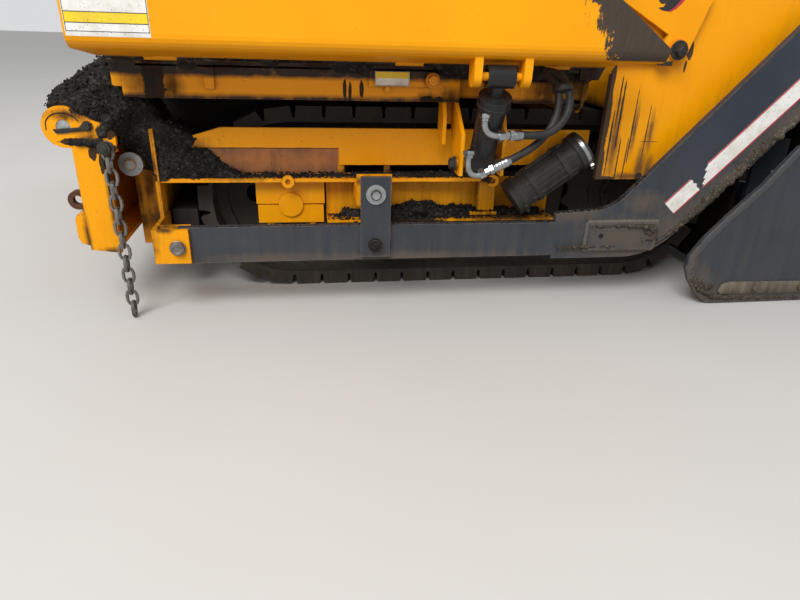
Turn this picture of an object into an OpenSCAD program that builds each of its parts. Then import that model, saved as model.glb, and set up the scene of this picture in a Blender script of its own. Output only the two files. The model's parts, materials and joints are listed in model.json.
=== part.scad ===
// Small tracked asphalt paver: dumping hopper with folding wings, and a towed floating screed.
// The front is -X, the machine's left side is -Y, and it stands on Z = 0. Millimetres.
// Places across the machine are given as distances from the centre plane, so one value serves both sides.

/* [Tracks] */
// Front idler's place along the machine
idler_x = -888; // [-900:1:-870]
// Rear sprocket's place along the machine
sprocket_x = 413; // [395:1:420]
// Height of the track loop
track_h = 650; // [640:1:655]
// Outer face of the track from the centre plane
track_out_y = 963; // [955:1:966]
// Width of a track shoe
shoe_w = 300; // [280:1:304]
// Thickness of a rubber shoe pad
pad_t = 38; // [30:1:42]
// Gap between two shoes
shoe_gap = 9; // [6:1:14]
// Number of shoes on one track
shoe_n = 43; // [40:1:44]
// Diameter of the idler's axle
axle_d = 84; // [70:1:90]

/* [Frame] */
// Inner face of the main frame's side plates from the centre plane
frame_y = 620; // [600:1:626]
// Thickness of the main frame's plates
frame_t = 12; // [10:1:14]
// Top of the main frame
frame_top_z = 668; // [660:1:672]
// Front end of the main frame
frame_front_x = -1424; // [-1430:1:-1415]
// Height of the shelf that runs along the outer side frame
ledge_z = 413; // [409:1:418]
// Thickness of the shelf
ledge_t = 13; // [10:1:14]
// Outer edge of the shelf from the centre plane
ledge_y = 1055; // [1050:1:1060]
// Gap from the track to the upper side rail's outer face
rail_gap = 47; // [44:1:50]
// Top of the upper side rail
rail_top_z = 585; // [575:1:595]
// Length of the split bearing block
block_l = 235; // [210:1:250]

/* [Bumper] */
// Radius of the push roller's end plates
roller_plate_r = 60; // [58:1:62]
// Push roller's place along the machine
roller_x = -1527; // [-1530:1:-1524]
// Push roller's height
roller_z = 606; // [604:1:610]
// Radius of the push rollers
roller_r = 54; // [48:1:55]
// Outer face of the bumper's side plates
bumper_y = 1170; // [1160:1:1180]
// Thickness of the bumper's side plates
bumper_t = 16; // [12:1:18]
// Wire diameter of the hanging chain's links
wire_d = 11; // [9:0.5:11.5]
// Outer width of a chain link
link_out_w = 42; // [41:0.5:46]
// Pitch of the chain
chain_pitch = 39.4; // [38:0.1:39.4]
// Links in each hanging chain
chain_n = 14; // [12:1:14]

/* [Tow arms] */
// Height of the front tow bar
bar_h = 120; // [110:1:126]
// Thickness of the tow arms
arm_t = 25; // [20:1:28]
// Outer face of the tow arms from the centre plane
arm_y = 1190; // [1186:1:1192]
// Tow pin's place along the machine
tow_x = -1242; // [-1246:1:-1238]
// Tow pin's height
tow_z = 241; // [236:1:246]
// Diameter of the tow pin
tow_pin_d = 32; // [26:1:36]
// Angle at which the tow arms rise over the augers
rise_a = 48; // [46:0.5:50]
// Width of the arm's rising plate
rise_w = 250; // [235:1:260]
// Guide strap's place along the machine
strap_x = -611; // [-640:1:-580]
// Width of the guide strap
strap_w = 98; // [80:1:105]

/* [Hopper] */
// Height of the hopper's pivot
pivot_z = 860; // [855:1:865]
// Hopper pivot's place along the machine
pivot_x = 380; // [375:1:385]
// Top of the hopper floor
floor_z = 792; // [788:1:796]
// Thickness of the hopper plates
hopper_t = 10; // [8:1:12]
// Front edge of the hopper floor
hopper_front_x = -1396; // [-1400:1:-1380]
// Rear edge of the hopper floor
hopper_rear_x = 124; // [100:1:128]
// Outer face of the hopper's side channels
channel_y = 1110; // [1100:1:1112]
// Outer face of the lowered wings
wing_y = 1370; // [1360:1:1380]
// Height of the wing hinge
wing_hinge_z = 806; // [804:1:808]
// Distance of the wing hinge from the centre plane
wing_hinge_y = 1126; // [1124:1:1128]
// Top edge of the wings
wing_top_z = 1320; // [1250:5:1340]
// Bore of the wing cylinders' barrels, outside
wing_barrel_d = 84; // [70:1:88]

/* [Tractor body] */
// Outer face of the body's side plates
body_y = 1100; // [1096:1:1102]
// Front edge of the body's side plates
body_front_x = 184; // [178:1:190]
// Rear face of the body
body_rear_x = 1000; // [995:1:1010]
// Lower edge of the side plates
body_low_z = 430; // [420:1:440]
// Height of the deck's upper face
deck_z = 1050; // [1046:1:1054]
// Rear end of the operators' deck
deck_rear_x = 1250; // [1200:5:1260]
// Height of the engine hood above the deck
hood_h = 400; // [380:5:420]
// Half width of the engine hood
hood_y = 430; // [400:5:440]
// Front of the engine hood
hood_front_x = 330; // [320:1:350]
// Rear of the engine hood
hood_rear_x = 830; // [800:5:840]

/* [Screed] */
// Augers' place along the machine
auger_x = 905; // [900:1:908]
// Augers' height
auger_z = 235; // [220:1:240]
// Diameter of the augers
auger_d = 280; // [260:2:284]
// Pitch of the auger's flight
auger_pitch = 250; // [230:5:270]
// Front face of the main screed
screed_front_x = 1092; // [1088:1:1100]
// Depth of the main screed, front to back
screed_l = 240; // [230:1:245]
// Height of the main screed
screed_h = 370; // [350:1:380]
// Half length of the main screed
screed_y = 1145; // [1130:1:1148]
// Depth of the sliding extensions, front to back
ext_l = 165; // [150:1:170]
// Outer face of the end gates
gate_y = 1260; // [1250:1:1270]
// Thickness of the end gates
gate_t = 14; // [10:1:16]
// Rear edge of the walkboard
walk_rear_x = 1587; // [1560:1:1600]

/* [Hidden] */
$fn = 48;
rail_y = track_out_y + rail_gap;
skirt_y = track_out_y + 22;

// Colours
paint = "#F7A01A";
dark = "#3C4147";
black = "#222324";
zinc = "#B9BCBE";
bright = "#D8DADC";
rubber = "#2A2725";
rust = "#7A4A2E";
vinyl = "#2B2B2D";

// Clearances
run_gap = 0.3;
slide_gap = 6;
eps = 1;

// Helpers: left-hand pieces are drawn at -Y
module right(on = true) mirror([0, on ? 1 : 0, 0]) children();
module both() { children(); mirror([0, 1, 0]) children(); }
// A profile in X and Z, drawn from y0 to y1 outwards on the left side
module plate(y0, y1) translate([0, -y0, 0]) rotate([90, 0, 0]) linear_extrude(y1 - y0) children();
// A box from its ranges; y is the distance from the centre plane on the left side
module slab(x, y, z) translate([x[0], -y[1], z[0]]) cube([x[1] - x[0], y[1] - y[0], z[1] - z[0]]);
// A shaft along Y on the left side
module shaft(x, z, y0, y1, r) translate([x, -y0, z]) rotate([90, 0, 0]) cylinder(r = r, h = y1 - y0);
// A cylinder between two points
module strut(a, b, r) {
    d = b - a;
    h = norm(d);
    translate(a) rotate([0, acos(d[2] / h), atan2(d[1], d[0])]) cylinder(r = r, h = h);
}
function arc(c, r, a0, a1, n) = [for (i = [0:n]) c + r * [cos(a0 + (a1 - a0) * i / n), sin(a0 + (a1 - a0) * i / n)]];
function rect(x, z) = [[x[0], z[0]], [x[1], z[0]], [x[1], z[1]], [x[0], z[1]]];

// Track
track_in_y = track_out_y - shoe_w;
track_mid_y = (track_out_y + track_in_y) / 2;
track_z = track_h / 2;
shoe_r = track_h / 2 - pad_t;
link_t = 55;
link_w = 110;
wheel_gap = 3;
wheel_r = shoe_r - link_t - wheel_gap;
track_span = sprocket_x - idler_x;
track_len = 2 * track_span + 2 * PI * shoe_r;
shoe_pitch = track_len / shoe_n;

// Place [x, z] of a shoe's hinge pin at distance s along the loop
function loop_at(s) =
    s < track_span ? [idler_x + s, track_z - shoe_r] :
    s < track_span + PI * shoe_r ?
        let (a = (s - track_span) / shoe_r * 180 / PI)
        [sprocket_x + shoe_r * sin(a), track_z - shoe_r * cos(a)] :
    s < 2 * track_span + PI * shoe_r ?
        [sprocket_x - (s - track_span - PI * shoe_r), track_z + shoe_r] :
        let (a = 180 + (s - 2 * track_span - PI * shoe_r) / shoe_r * 180 / PI)
        [idler_x + shoe_r * sin(a), track_z - shoe_r * cos(a)];
// Corners of the shoe between two hinge pins, its tread edges taken in by a small chamfer
shoe_chamfer = 4;
function shoe_pts(p, q) =
    let (t = (q - p) / norm(q - p), n = [t[1], -t[0]], a = p + t * shoe_gap / 2, b = q - t * shoe_gap / 2)
    [a, a + t * shoe_chamfer + n * pad_t, b - t * shoe_chamfer + n * pad_t, b];
shoe_outline = [for (i = [0:shoe_n - 1])
    each shoe_pts(loop_at(i * shoe_pitch), loop_at((i + 1) % shoe_n * shoe_pitch))];
function oval(r, n = 12) = concat(
    arc([sprocket_x, track_z], r, -90, 90, n),
    arc([idler_x, track_z], r, 90, 270, n));

module track() color(rubber) {
    plate(track_in_y, track_out_y) difference() {
        polygon(shoe_outline);
        polygon(oval(shoe_r - 14));
    }
    plate(track_mid_y - link_w / 2, track_mid_y + link_w / 2) difference() {
        polygon(oval(shoe_r - 13));
        polygon(oval(shoe_r - link_t));
    }
}

// Wheels inside the track
roller_low_r = 60;
roller_low_n = 5;
roller_low_z = track_z - shoe_r + link_t + roller_low_r + run_gap;
beam_x = [idler_x + wheel_r + 25, sprocket_x - wheel_r - 25];
beam_z = [roller_low_z - 35, track_z + 70];
beam_w = 92;
beam_plate = 12;
function roller_low_x(i) = beam_x[0] + 65 + i * (beam_x[1] - beam_x[0] - 130) / (roller_low_n - 1);
tooth_n = 15;
module track_wheels() color(dark) {
    // Idler on its axle
    difference() {
        shaft(idler_x, track_z, track_mid_y - 40, track_mid_y + 40, wheel_r);
        for (i = [0:5])
            translate([idler_x, 0, track_z]) rotate([0, i * 60, 0]) shaft(wheel_r * 0.58, 0, track_mid_y - 50, track_mid_y + 50, 34);
    }
    shaft(idler_x, track_z, frame_y + frame_t + run_gap, rail_y - 4, axle_d / 2);
    // Sprocket and its final drive
    plate(track_mid_y - 22, track_mid_y + 22) translate([sprocket_x, track_z]) polygon([
        for (i = [0:tooth_n - 1]) each let (a = 360 / tooth_n) [
            (wheel_r - 24) * [cos(a * (i - 0.3)), sin(a * (i - 0.3))],
            wheel_r * [cos(a * (i - 0.12)), sin(a * (i - 0.12))],
            wheel_r * [cos(a * (i + 0.12)), sin(a * (i + 0.12))],
            (wheel_r - 24) * [cos(a * (i + 0.3)), sin(a * (i + 0.3))]]]);
    shaft(sprocket_x, track_z, frame_y + frame_t + run_gap, track_mid_y + 40, 120);
    shaft(sprocket_x, track_z, track_mid_y + 39, track_mid_y + 75, 85);
    // Lower rollers
    for (i = [0:roller_low_n - 1]) {
        shaft(roller_low_x(i), roller_low_z, track_mid_y - beam_w / 2 + beam_plate + run_gap,
              track_mid_y + beam_w / 2 - beam_plate - run_gap, roller_low_r);
        shaft(roller_low_x(i), roller_low_z, track_mid_y - beam_w / 2 - 8, track_mid_y + beam_w / 2 + 8, 20);
    }
}
module track_frame() color(dark) {
    for (y = [track_mid_y - beam_w / 2, track_mid_y + beam_w / 2 - beam_plate])
        difference() {
            plate(y, y + beam_plate) polygon([
                [beam_x[0], beam_z[0]], [beam_x[1], beam_z[0]], [beam_x[1] + 20, beam_z[1]], [beam_x[0] - 20, beam_z[1]]]);
            for (i = [0:roller_low_n - 1]) shaft(roller_low_x(i), roller_low_z, y - eps, y + beam_plate + eps, 20 + run_gap);
        }
    slab([beam_x[0] - 20, beam_x[1] + 20], [track_mid_y - beam_w / 2, track_mid_y + beam_w / 2], [beam_z[1], beam_z[1] + 12]);
    // Stays to the main frame's side plate
    for (x = [beam_x[0] + 90, beam_x[1] - 150])
        slab([x, x + 90], [frame_y + frame_t, track_mid_y - beam_w / 2], [beam_z[1] - 60, beam_z[1]]);
}

// Main frame between the tracks, its rear edge clear of the augers' flights
auger_clear_x = auger_x - auger_d / 2 - 12;
chute_top = [20, frame_top_z - 6];
chute_low = [790, 345];
module main_frame() color(paint) {
    both() difference() {
        plate(frame_y, frame_y + frame_t) polygon([
            [frame_front_x, 190], [idler_x, 150], [600, 150], [auger_clear_x, 240], [auger_clear_x, 400], [chute_low[0], 440],
            [chute_low[0], 640], [body_front_x, frame_top_z], [frame_front_x, frame_top_z]]);
        for (x = [-1150, -660]) plate(frame_y - eps, frame_y + frame_t + eps) translate([x, 420]) circle(r = 110);
    }
    // Cross members
    slab([frame_front_x, frame_front_x + 12], [-frame_y, frame_y], [200, frame_top_z - 20]);
    slab([-560 - 50, -560 + 50], [-frame_y, frame_y], [160, 178]);
    slab([-250, -130], [-frame_y, frame_y], [200, 320]);
    // Chute that leads the mix back to the augers
    plate(-frame_y, frame_y) polygon([
        chute_top, chute_low, chute_low + [0, -12], chute_top + [0, -12]]);
    // Lugs for the hopper cylinders
    both() for (y = [hopper_cyl_y - 34, hopper_cyl_y + 20]) difference() {
        plate(y, y + 14) { translate(hopper_cyl_base) circle(r = 34); translate(hopper_cyl_base + [-34, -44]) square([68, 44]); }
        plate(y - eps, y + 14 + eps) translate(hopper_cyl_base) circle(r = 14);
    }
    both() shaft(hopper_cyl_base[0], hopper_cyl_base[1], hopper_cyl_y - 34, hopper_cyl_y + 34, 14);
}

// Outer side frame with its post, shelf and rail
post_x = [-1398, -1308];
post_pin = [-1386, 476];
skirt_flange_t = 8;
guard_low_z = 205;
module side_frame() color(paint) {
    // Front post, a channel open outwards
    slab(post_x, [ledge_y - 75, ledge_y - 63], [186, rail_top_z]);
    slab([post_x[1] - 12, post_x[1]], [ledge_y - 75, ledge_y], [186, rail_top_z]);
    // Boss of the large washer pin
    shaft(post_pin[0], post_pin[1], ledge_y - 64, ledge_y - 2, 34);
    shaft(post_pin[0], post_pin[1], ledge_y - 3, ledge_y + 4, 37);
    shaft(post_pin[0], post_pin[1], ledge_y + 3, ledge_y + 20, 17);
    // Eyes on the shelf's edge
    for (x = [-893, -180]) difference() {
        shaft(x, ledge_z + 4, ledge_y - 1, ledge_y + 12, 21);
        shaft(x, ledge_z + 4, ledge_y + 1, ledge_y + 13, 9);
    }
    slab([frame_front_x + 12, post_x[1]], [frame_y + frame_t, ledge_y - 75], [430, 560]);
    // Shelf
    slab([post_x[1], -197], [skirt_y - 12, ledge_y], [ledge_z, ledge_z + ledge_t]);
    // Upper rail, with a worn recessed band at its front
    plate(rail_y - 14, rail_y) polygon([
        [post_x[1], 520], [-1232, 547], [-1106, rail_top_z], [body_front_x - 4, rail_top_z], [body_front_x - 4, 462], [-718, 462],
        [-718, 520]]);
    plate(rail_y - 22, rail_y - 8) polygon(rect([-1240, -700], [ledge_z + ledge_t, 522]));
    slab([-560, -540], [skirt_y - 12, rail_y - 14], [ledge_z + ledge_t, 470]);
    // Skirt plate below the shelf
    slab([-764, 60], [skirt_y - 12, skirt_y], [275, ledge_z]);
    // Guard in front of the track
    slab([post_x[1] - 22, post_x[1] - 12], [frame_y + frame_t, ledge_y - 70], [guard_low_z, ledge_z + ledge_t]);
    // Skirt's lower flange, on which spilled mix lies
    slab([-764, 60], [skirt_y - 1, skirt_y + 88], [275, 275 + skirt_flange_t]);
    // Bracket that carries the guide strap
    slab([strap_x - 58, strap_x + 58], [skirt_y, strap_y0 - 40], [358, ledge_z]);
    slab([strap_x - 58, strap_x + 58], [strap_y0 - 52, strap_y0 - 40], [358, 461]);
    shaft(strap_x, strap_top_z, strap_y0 - 40, strap_y0, 26);
    // Saddle behind the air duct
    slab([44, 84], [rail_y, rail_y + 3.7], [465, 505]);
    // Foot bracket at the shelf's rear end
    slab([-218, -160], [ledge_y - 30, ledge_y - 20], [300, ledge_z]);
    slab([-250, -150], [ledge_y - 60, ledge_y - 8], [288, 300]);
    slab([-218, -197], [skirt_y, ledge_y - 20], [380, ledge_z]);
    // Tow clevis
    tow_lug();
}

// Clevis that the tow bar's eye is pinned in
lug_x = [-1304, -1206];
lug_z = [187, 299];
lug_gap = 4;
module tow_lug() {
    difference() {
        slab([lug_x[0], lug_x[1]], [arm_y + lug_gap, arm_y + lug_gap + 14], lug_z);
        shaft(tow_x, tow_z, arm_y - 50, arm_y + 60, tow_pin_d / 2 + run_gap);
    }
    difference() {
        slab([lug_x[0], lug_x[1]], [arm_y - arm_t - lug_gap - 14, arm_y - arm_t - lug_gap], lug_z);
        shaft(tow_x, tow_z, arm_y - 80, arm_y + 60, tow_pin_d / 2 + run_gap);
    }
    slab([lug_x[0] - 13, lug_x[0] + 1], [ledge_y - 75, arm_y + lug_gap + 14], lug_z);
}

// Split block under the shelf that holds the idler's axle
block_y = [track_out_y + 6, rail_y];
module bearing_block() color(paint) difference() {
    union() {
        slab([idler_x - block_l / 2, idler_x + block_l / 2], block_y, [track_z + 2, ledge_z]);
        slab([idler_x - block_l / 2 + 4, idler_x + block_l / 2 - 4], block_y, [track_z - 66, track_z - 2]);
        for (x = [-1, 1]) shaft_z(idler_x + x * 75, (block_y[0] + block_y[1]) / 2, track_z - 80, track_z + 10, 13);
    }
    shaft(idler_x, track_z, block_y[0] - eps, block_y[1] - 3, axle_d / 2 + run_gap);
}
// Cap over the axle's end
module axle_cap() color(paint) shaft(idler_x, track_z, block_y[1] - 3.7, block_y[1] + 9, axle_d / 2);
module shaft_z(x, y, z0, z1, r) translate([x, -y, z0]) cylinder(r = r, h = z1 - z0);

// Dark strap that keeps the tow bar beside the frame
strap_y0 = arm_y + 8;
strap_top_z = 409;
strap_low_z = 238;
strap_t = 12;
module guide_strap() color(dark) {
    slab([strap_x - strap_w / 2, strap_x + strap_w / 2], [strap_y0, strap_y0 + strap_t], [196, 466]);
    shaft(strap_x, strap_top_z, strap_y0 + strap_t, strap_y0 + strap_t + 4, 31);
    shaft(strap_x, strap_top_z, strap_y0 + strap_t + 3, strap_y0 + strap_t + 16, 17);
    shaft(strap_x, strap_low_z, strap_y0 + strap_t, strap_y0 + strap_t + 16, 22);
}

// Bumper with its side plates, roller brackets and cross beam
beam_front_x = roller_x + 12;
lip_x = beam_front_x - 37;
beam_low_z = 230;
beam_top_z = 545;
beam_t = 14;
beam_end_y = bumper_y - bumper_t;
bumper_profile = [[beam_front_x, 226], [-1425, 214], [-1422, 419], [-1436, 520], [-1388, 536], [-1388, 590], [-1402, 606], [beam_front_x, 606]];
module bumper_side(y0, y1) plate(y0, y1) {
    polygon(bumper_profile);
    translate([roller_x, roller_z]) circle(r = roller_plate_r);
    polygon([[roller_x, roller_z + roller_plate_r], [-1402, 606], [-1402, 588], [-1445, 540], [roller_x, roller_z - roller_plate_r]]);
}
roller_shaft_r = 20;
roller_in_y = 30;
module front_bumper() color(paint) {
    both() difference() {
        bumper_side(bumper_y - bumper_t, bumper_y);
        shaft(roller_x, roller_z, bumper_y - bumper_t - eps, bumper_y + eps, roller_shaft_r + run_gap);
    }
    difference() {
        union() {
            plate(-14, 14) { translate([roller_x, roller_z]) circle(r = 40); polygon([[roller_x - 30, 545], [roller_x - 36, roller_z], [roller_x + 36, roller_z], [-1440, 545]]); }
        }
        shaft(roller_x, roller_z, -20, 20, roller_shaft_r + run_gap);
    }
    // Lower lip of the cross beam
    plate(-beam_end_y, beam_end_y) polygon([[beam_front_x + 5, beam_low_z + 1], [beam_front_x - 30, beam_low_z + 14],
        [lip_x, beam_low_z + 32], [lip_x, beam_low_z + 88], [beam_front_x - 30, beam_low_z + 106],
        [beam_front_x + 5, beam_low_z + 110]]);
    // Cross beam, a channel open to the rear
    slab([beam_front_x, beam_front_x + beam_t], [-beam_end_y, beam_end_y], [beam_low_z, beam_top_z]);
    slab([beam_front_x + beam_t, frame_front_x], [-beam_end_y, beam_end_y], [beam_top_z - beam_t, beam_top_z]);
    slab([beam_front_x + beam_t, frame_front_x], [-beam_end_y, beam_end_y], [beam_low_z, beam_low_z + beam_t]);
    // Bolt for the chain
    both() shaft(chain_bolt[0], chain_bolt[1], bumper_y - bumper_t, chain_y + 18, chain_bolt_r);
    both() shaft(chain_bolt[0], chain_bolt[1], chain_y + 18, chain_y + 30, 17);
}
module push_roller() color(zinc) {
    shaft(roller_x, roller_z, roller_in_y, bumper_y - bumper_t - slide_gap, roller_r);
    shaft(roller_x, roller_z, 16, bumper_y - 2, roller_shaft_r);
}
// Tow hooks on the bumper's front
hook_x = -1545;
hook_z = 374;
hook_y = [1096, 1120];
module tow_hook() color(rust) plate(hook_y[0], hook_y[1]) difference() {
    union() {
        translate([hook_x, hook_z]) circle(r = 30);
        translate([hook_x, hook_z - 30]) square([30, 60]);
    }
    translate([hook_x, hook_z]) circle(r = 15);
}

// Hanging chain: links turned a quarter against each other, the first one over its bolt
wire_r = wire_d / 2;
link_slack = 0.6;
link_half = (chain_pitch + link_slack) / 2;
link_bend_r = link_out_w / 2 - wire_r;
chain_bolt = [-1406, 555];
chain_bolt_r = 9;
chain_y = bumper_y + 34;
module link_ring() {
    s = link_half + wire_r - link_bend_r;
    for (k = [0, 180]) rotate([0, 0, k]) translate([0, s, 0])
        rotate_extrude(angle = 180, $fn = 8) translate([link_bend_r, 0]) circle(r = wire_r, $fn = 6);
    for (k = [-1, 1]) translate([k * link_bend_r, s, 0]) rotate([90, 0, 0]) cylinder(r = wire_r, h = 2 * s, $fn = 6);
}
module chain() color(zinc)
    for (i = [0:chain_n - 1])
        translate([chain_bolt[0], -chain_y, chain_bolt[1] + chain_bolt_r + run_gap - link_half - i * chain_pitch])
            rotate([0, 0, 90 * (i % 2)]) rotate([90, 0, 0]) link_ring();

// Tractor body
module side_plate() color(paint) difference() {
    union() {
        plate(body_y - 10, body_y) polygon([
            [body_front_x, body_low_z], [body_cut_x, body_low_z], [body_rear_x, body_cut_z], [body_rear_x, deck_z],
            [body_front_x + 30, deck_z], [body_front_x + 30, 840], [body_front_x, 790]]);
        slab([body_front_x, body_front_x + 10], [body_y - 24, body_y - 9], [body_low_z, 780]);
    }
    shaft(pivot_x, pivot_z, body_y - 30, body_y + 30, pivot_pin_r + run_gap);
}
pivot_pin_r = 22;
// Where the side plate's lower edge turns up behind the tow arm, and its height at the rear
body_cut_x = 560;
body_cut_z = 760;
pivot_boss_r = 38;
module rear_body() color(paint) {
    y = body_y - 10;
    // Front bulkhead above the chute's mouth
    slab([body_front_x + 30, body_front_x + 40], [-y, y], [chute_mouth_z, deck_z - 12]);
    // Panels from the side plates in to the main frame, above the tracks
    both() slab([body_front_x + 40, 780], [frame_y + frame_t, y], [track_h + 14, track_h + 24]);
    both() slab([body_front_x + 30, body_front_x + 40], [frame_y + frame_t, y], [track_h + 14, chute_mouth_z + 8]);
    // Rear bulkhead and the plate in front of the augers
    slab([body_rear_x - 10, body_rear_x], [-y, y], [body_low_z, deck_z - 12]);
    both() slab([770 - 22, 770 - 12], [frame_y + frame_t, y], [60, track_h + 14]);
    // Sloping roof of the chute
    plate(-frame_y, frame_y) polygon([
        [body_front_x + 32, chute_mouth_z + 8], [body_rear_x - 5, body_low_z + 60], [body_rear_x - 5, body_low_z + 48],
        [body_front_x + 32, chute_mouth_z - 4]]);
    // Pivot pins of the hopper
    both() {
        shaft(pivot_x, pivot_z, body_y - 40, channel_cheek_y + 14 + 10, pivot_pin_r);
        shaft(pivot_x, pivot_z, body_y - 40, body_y - 10 - run_gap, pivot_boss_r);
        shaft(pivot_x, pivot_z, channel_cheek_y + 14 + 1, channel_cheek_y + 14 + 10, pivot_boss_r - 6);
    }
}
// Brackets that the lift cylinders hang from, each with its pin
module lift_bracket() color(paint) {
    for (y = [lift_y - 36, lift_y + 24]) difference() {
        plate(y, y + 12) polygon([[body_rear_x, lift_top[1] - 80], [lift_top[0] + 22, lift_top[1] - 24],
            [lift_top[0] + 22, lift_top[1] + 20], [body_rear_x, lift_top[1] + 20]]);
        plate(y - eps, y + 12 + eps) translate(lift_top) circle(r = 14 + run_gap);
    }
    shaft(lift_top[0], lift_top[1], lift_y - 40, lift_y + 40, 14);
}
chute_mouth_z = 830;
module deck() color(paint) {
    slab([body_front_x + 30, body_rear_x], [-(body_y - 10), body_y - 10], [deck_z - 12, deck_z]);
    slab([body_rear_x, deck_rear_x], [-deck_side_y, deck_side_y], [deck_z - 12, deck_z]);
    for (s = [-1, 1]) slab([body_rear_x, deck_rear_x - 30], [s * deck_side_y / 2 - 8, s * deck_side_y / 2 + 8], [deck_z - 70, deck_z - 12]);
    // Hinge lugs and pins of the hood
    both() {
        shaft(hood_hinge[0], hood_hinge[1], 226, 314, 6);
        for (y = [226, 304]) {
            shaft(hood_hinge[0], hood_hinge[1], y, y + 10, 11);
            slab([hood_hinge[0] - 11, hood_hinge[0] + 11], [y, y + 10], [deck_z, hood_hinge[1]]);
        }
    }
    // Grab rails
    both() {
        strut([960, -(deck_side_y - 25), deck_z], [960, -(deck_side_y - 25), deck_z + 330], 16);
        strut([deck_rear_x - 40, -(deck_side_y - 25), deck_z], [deck_rear_x - 40, -(deck_side_y - 25), deck_z + 330], 16);
        strut([960 - 16, -(deck_side_y - 25), deck_z + 330], [deck_rear_x - 24, -(deck_side_y - 25), deck_z + 330], 16);
    }
}
deck_side_y = 960;

// Engine under its hood, short enough for the hood's rear wall to swing over it
engine_rear_x = 690;
fan_r = 145;
module engine() color(dark) {
    slab([hood_front_x + 60, engine_rear_x], [-300, 300], [deck_z, deck_z + 250]);
    slab([hood_front_x + 100, engine_rear_x - 90], [-260, 240], [deck_z + 250, deck_z + 320]);
    // Air cleaner and the cylinder head's cover
    shaft(hood_front_x + 150, deck_z + 348, 30, 220, 34);
    slab([hood_front_x + 120, engine_rear_x - 120], [-230, -40], [deck_z + 320, deck_z + 350]);
    // Cooling fan's ring in front of the block
    translate([hood_front_x + 30, 0, deck_z + 156]) rotate([0, 90, 0]) difference() {
        cylinder(r = fan_r, h = 31);
        translate([0, 0, -eps]) cylinder(r = fan_r - 12, h = 31);
    }
}
module engine_hood() color(paint) {
    t = 8;
    z0 = deck_z + slide_gap;
    z1 = deck_z + hood_h;
    difference() {
        plate(-hood_y, hood_y) polygon([[hood_front_x, z0], [hood_rear_x, z0], [hood_rear_x, z1 - 50], [hood_rear_x - 50, z1],
            [hood_front_x + 90, z1], [hood_front_x, z1 - 90]]);
        plate(-(hood_y - t), hood_y - t) polygon([[hood_front_x + t, z0 - eps], [hood_rear_x - t, z0 - eps], [hood_rear_x - t, z1 - 54],
            [hood_rear_x - 54, z1 - t], [hood_front_x + 94, z1 - t], [hood_front_x + t, z1 - 94]]);
        // Louvre slots in both sides and the front
        for (i = [0:6]) plate(-hood_y - eps, hood_y + eps) translate([hood_front_x + 110 + i * 42, z0 + 90]) square([16, 170]);
        for (i = [0:5]) slab([hood_front_x - eps, hood_front_x + t + eps], [-300, 300], [z0 + 60 + i * 38, z0 + 76 + i * 38]);
    }
    // Hinge knuckles
    both() difference() {
        union() {
            shaft(hood_hinge[0], hood_hinge[1], 240, 300, 11);
            slab([hood_hinge[0], hood_front_x], [240, 300], [hood_hinge[1] - 4, hood_hinge[1] + 4]);
        }
        shaft(hood_hinge[0], hood_hinge[1], 240 - eps, 300 + eps, 6 + run_gap);
    }
}
hood_hinge = [hood_front_x - 16, deck_z + 17];
stack_y = 520;
module exhaust_stack() color(black) {
    translate([500, -stack_y, deck_z]) cylinder(r = 70, h = 330);
    translate([500, -stack_y, deck_z + 330]) cylinder(r1 = 70, r2 = 30, h = 40);
    translate([500, -stack_y, deck_z + 370]) difference() { cylinder(r = 30, h = 330); translate([0, 0, 20]) cylinder(r = 26, h = 330); }
}
tank_x = [hood_front_x + 70, hood_rear_x];
tank_h = 270;
tank_y = [hood_y + 190, body_y - 20];
filler_y = tank_y[0] + 80;
module tank() slab(tank_x, tank_y, [deck_z, deck_z + tank_h]);
module fuel_tank() color(paint) {
    tank();
    shaft_z(tank_x[1] - 110, filler_y, deck_z + tank_h, deck_z + tank_h + 35, 40);
}
module hydraulic_tank() color(paint) {
    tank();
    shaft_z(tank_x[0] + 80, filler_y, deck_z + tank_h, deck_z + tank_h + 50, 28);
}
console_x = 868;
module console() color(dark) {
    slab([console_x - 12, console_x + 60], [-140, 140], [deck_z, deck_z + 330]);
    plate(-330, 330) polygon([[console_x - 12, deck_z + 330], [console_x + 110, deck_z + 330], [console_x + 110, deck_z + 350],
        [console_x - 12, deck_z + 450]]);
    for (y = [-180, -120, 120, 180]) strut([console_x + 70, -y, deck_z + 365], [console_x + 78, -y, deck_z + 450], 7);
}
seat_y = 560;
seat_x = [body_rear_x - 60, deck_rear_x - 10];
seat_z = deck_z + 300;
seat_half = 215;
module seat_frame() color(dark) {
    translate([1090, -seat_y, deck_z]) cylinder(r = 45, h = seat_z - deck_z - 20);
    slab([seat_x[0] + 20, seat_x[1] + 20], [seat_y - seat_half + 20, seat_y + seat_half - 20], [seat_z - 20, seat_z]);
    slab([seat_x[1] + 50, seat_x[1] + 70], [seat_y - 120, seat_y + 120], [seat_z - 20, seat_z + 420]);
    slab([seat_x[1] + 20, seat_x[1] + 50], [seat_y - 120, seat_y + 120], [seat_z - 20, seat_z]);
}
module seat_pad() color(vinyl) {
    slab(seat_x, [seat_y - seat_half, seat_y + seat_half], [seat_z + run_gap, seat_z + 100]);
    slab([seat_x[1] - 50, seat_x[1] + 50 - run_gap], [seat_y - seat_half, seat_y + seat_half], [seat_z + 112, seat_z + 470]);
}

// Corrugated air duct between the side frame and the body, left side only
duct_a = [-113, -1080, 357];
duct_b = [133, -1080, 539];
duct_r = 66;
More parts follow.
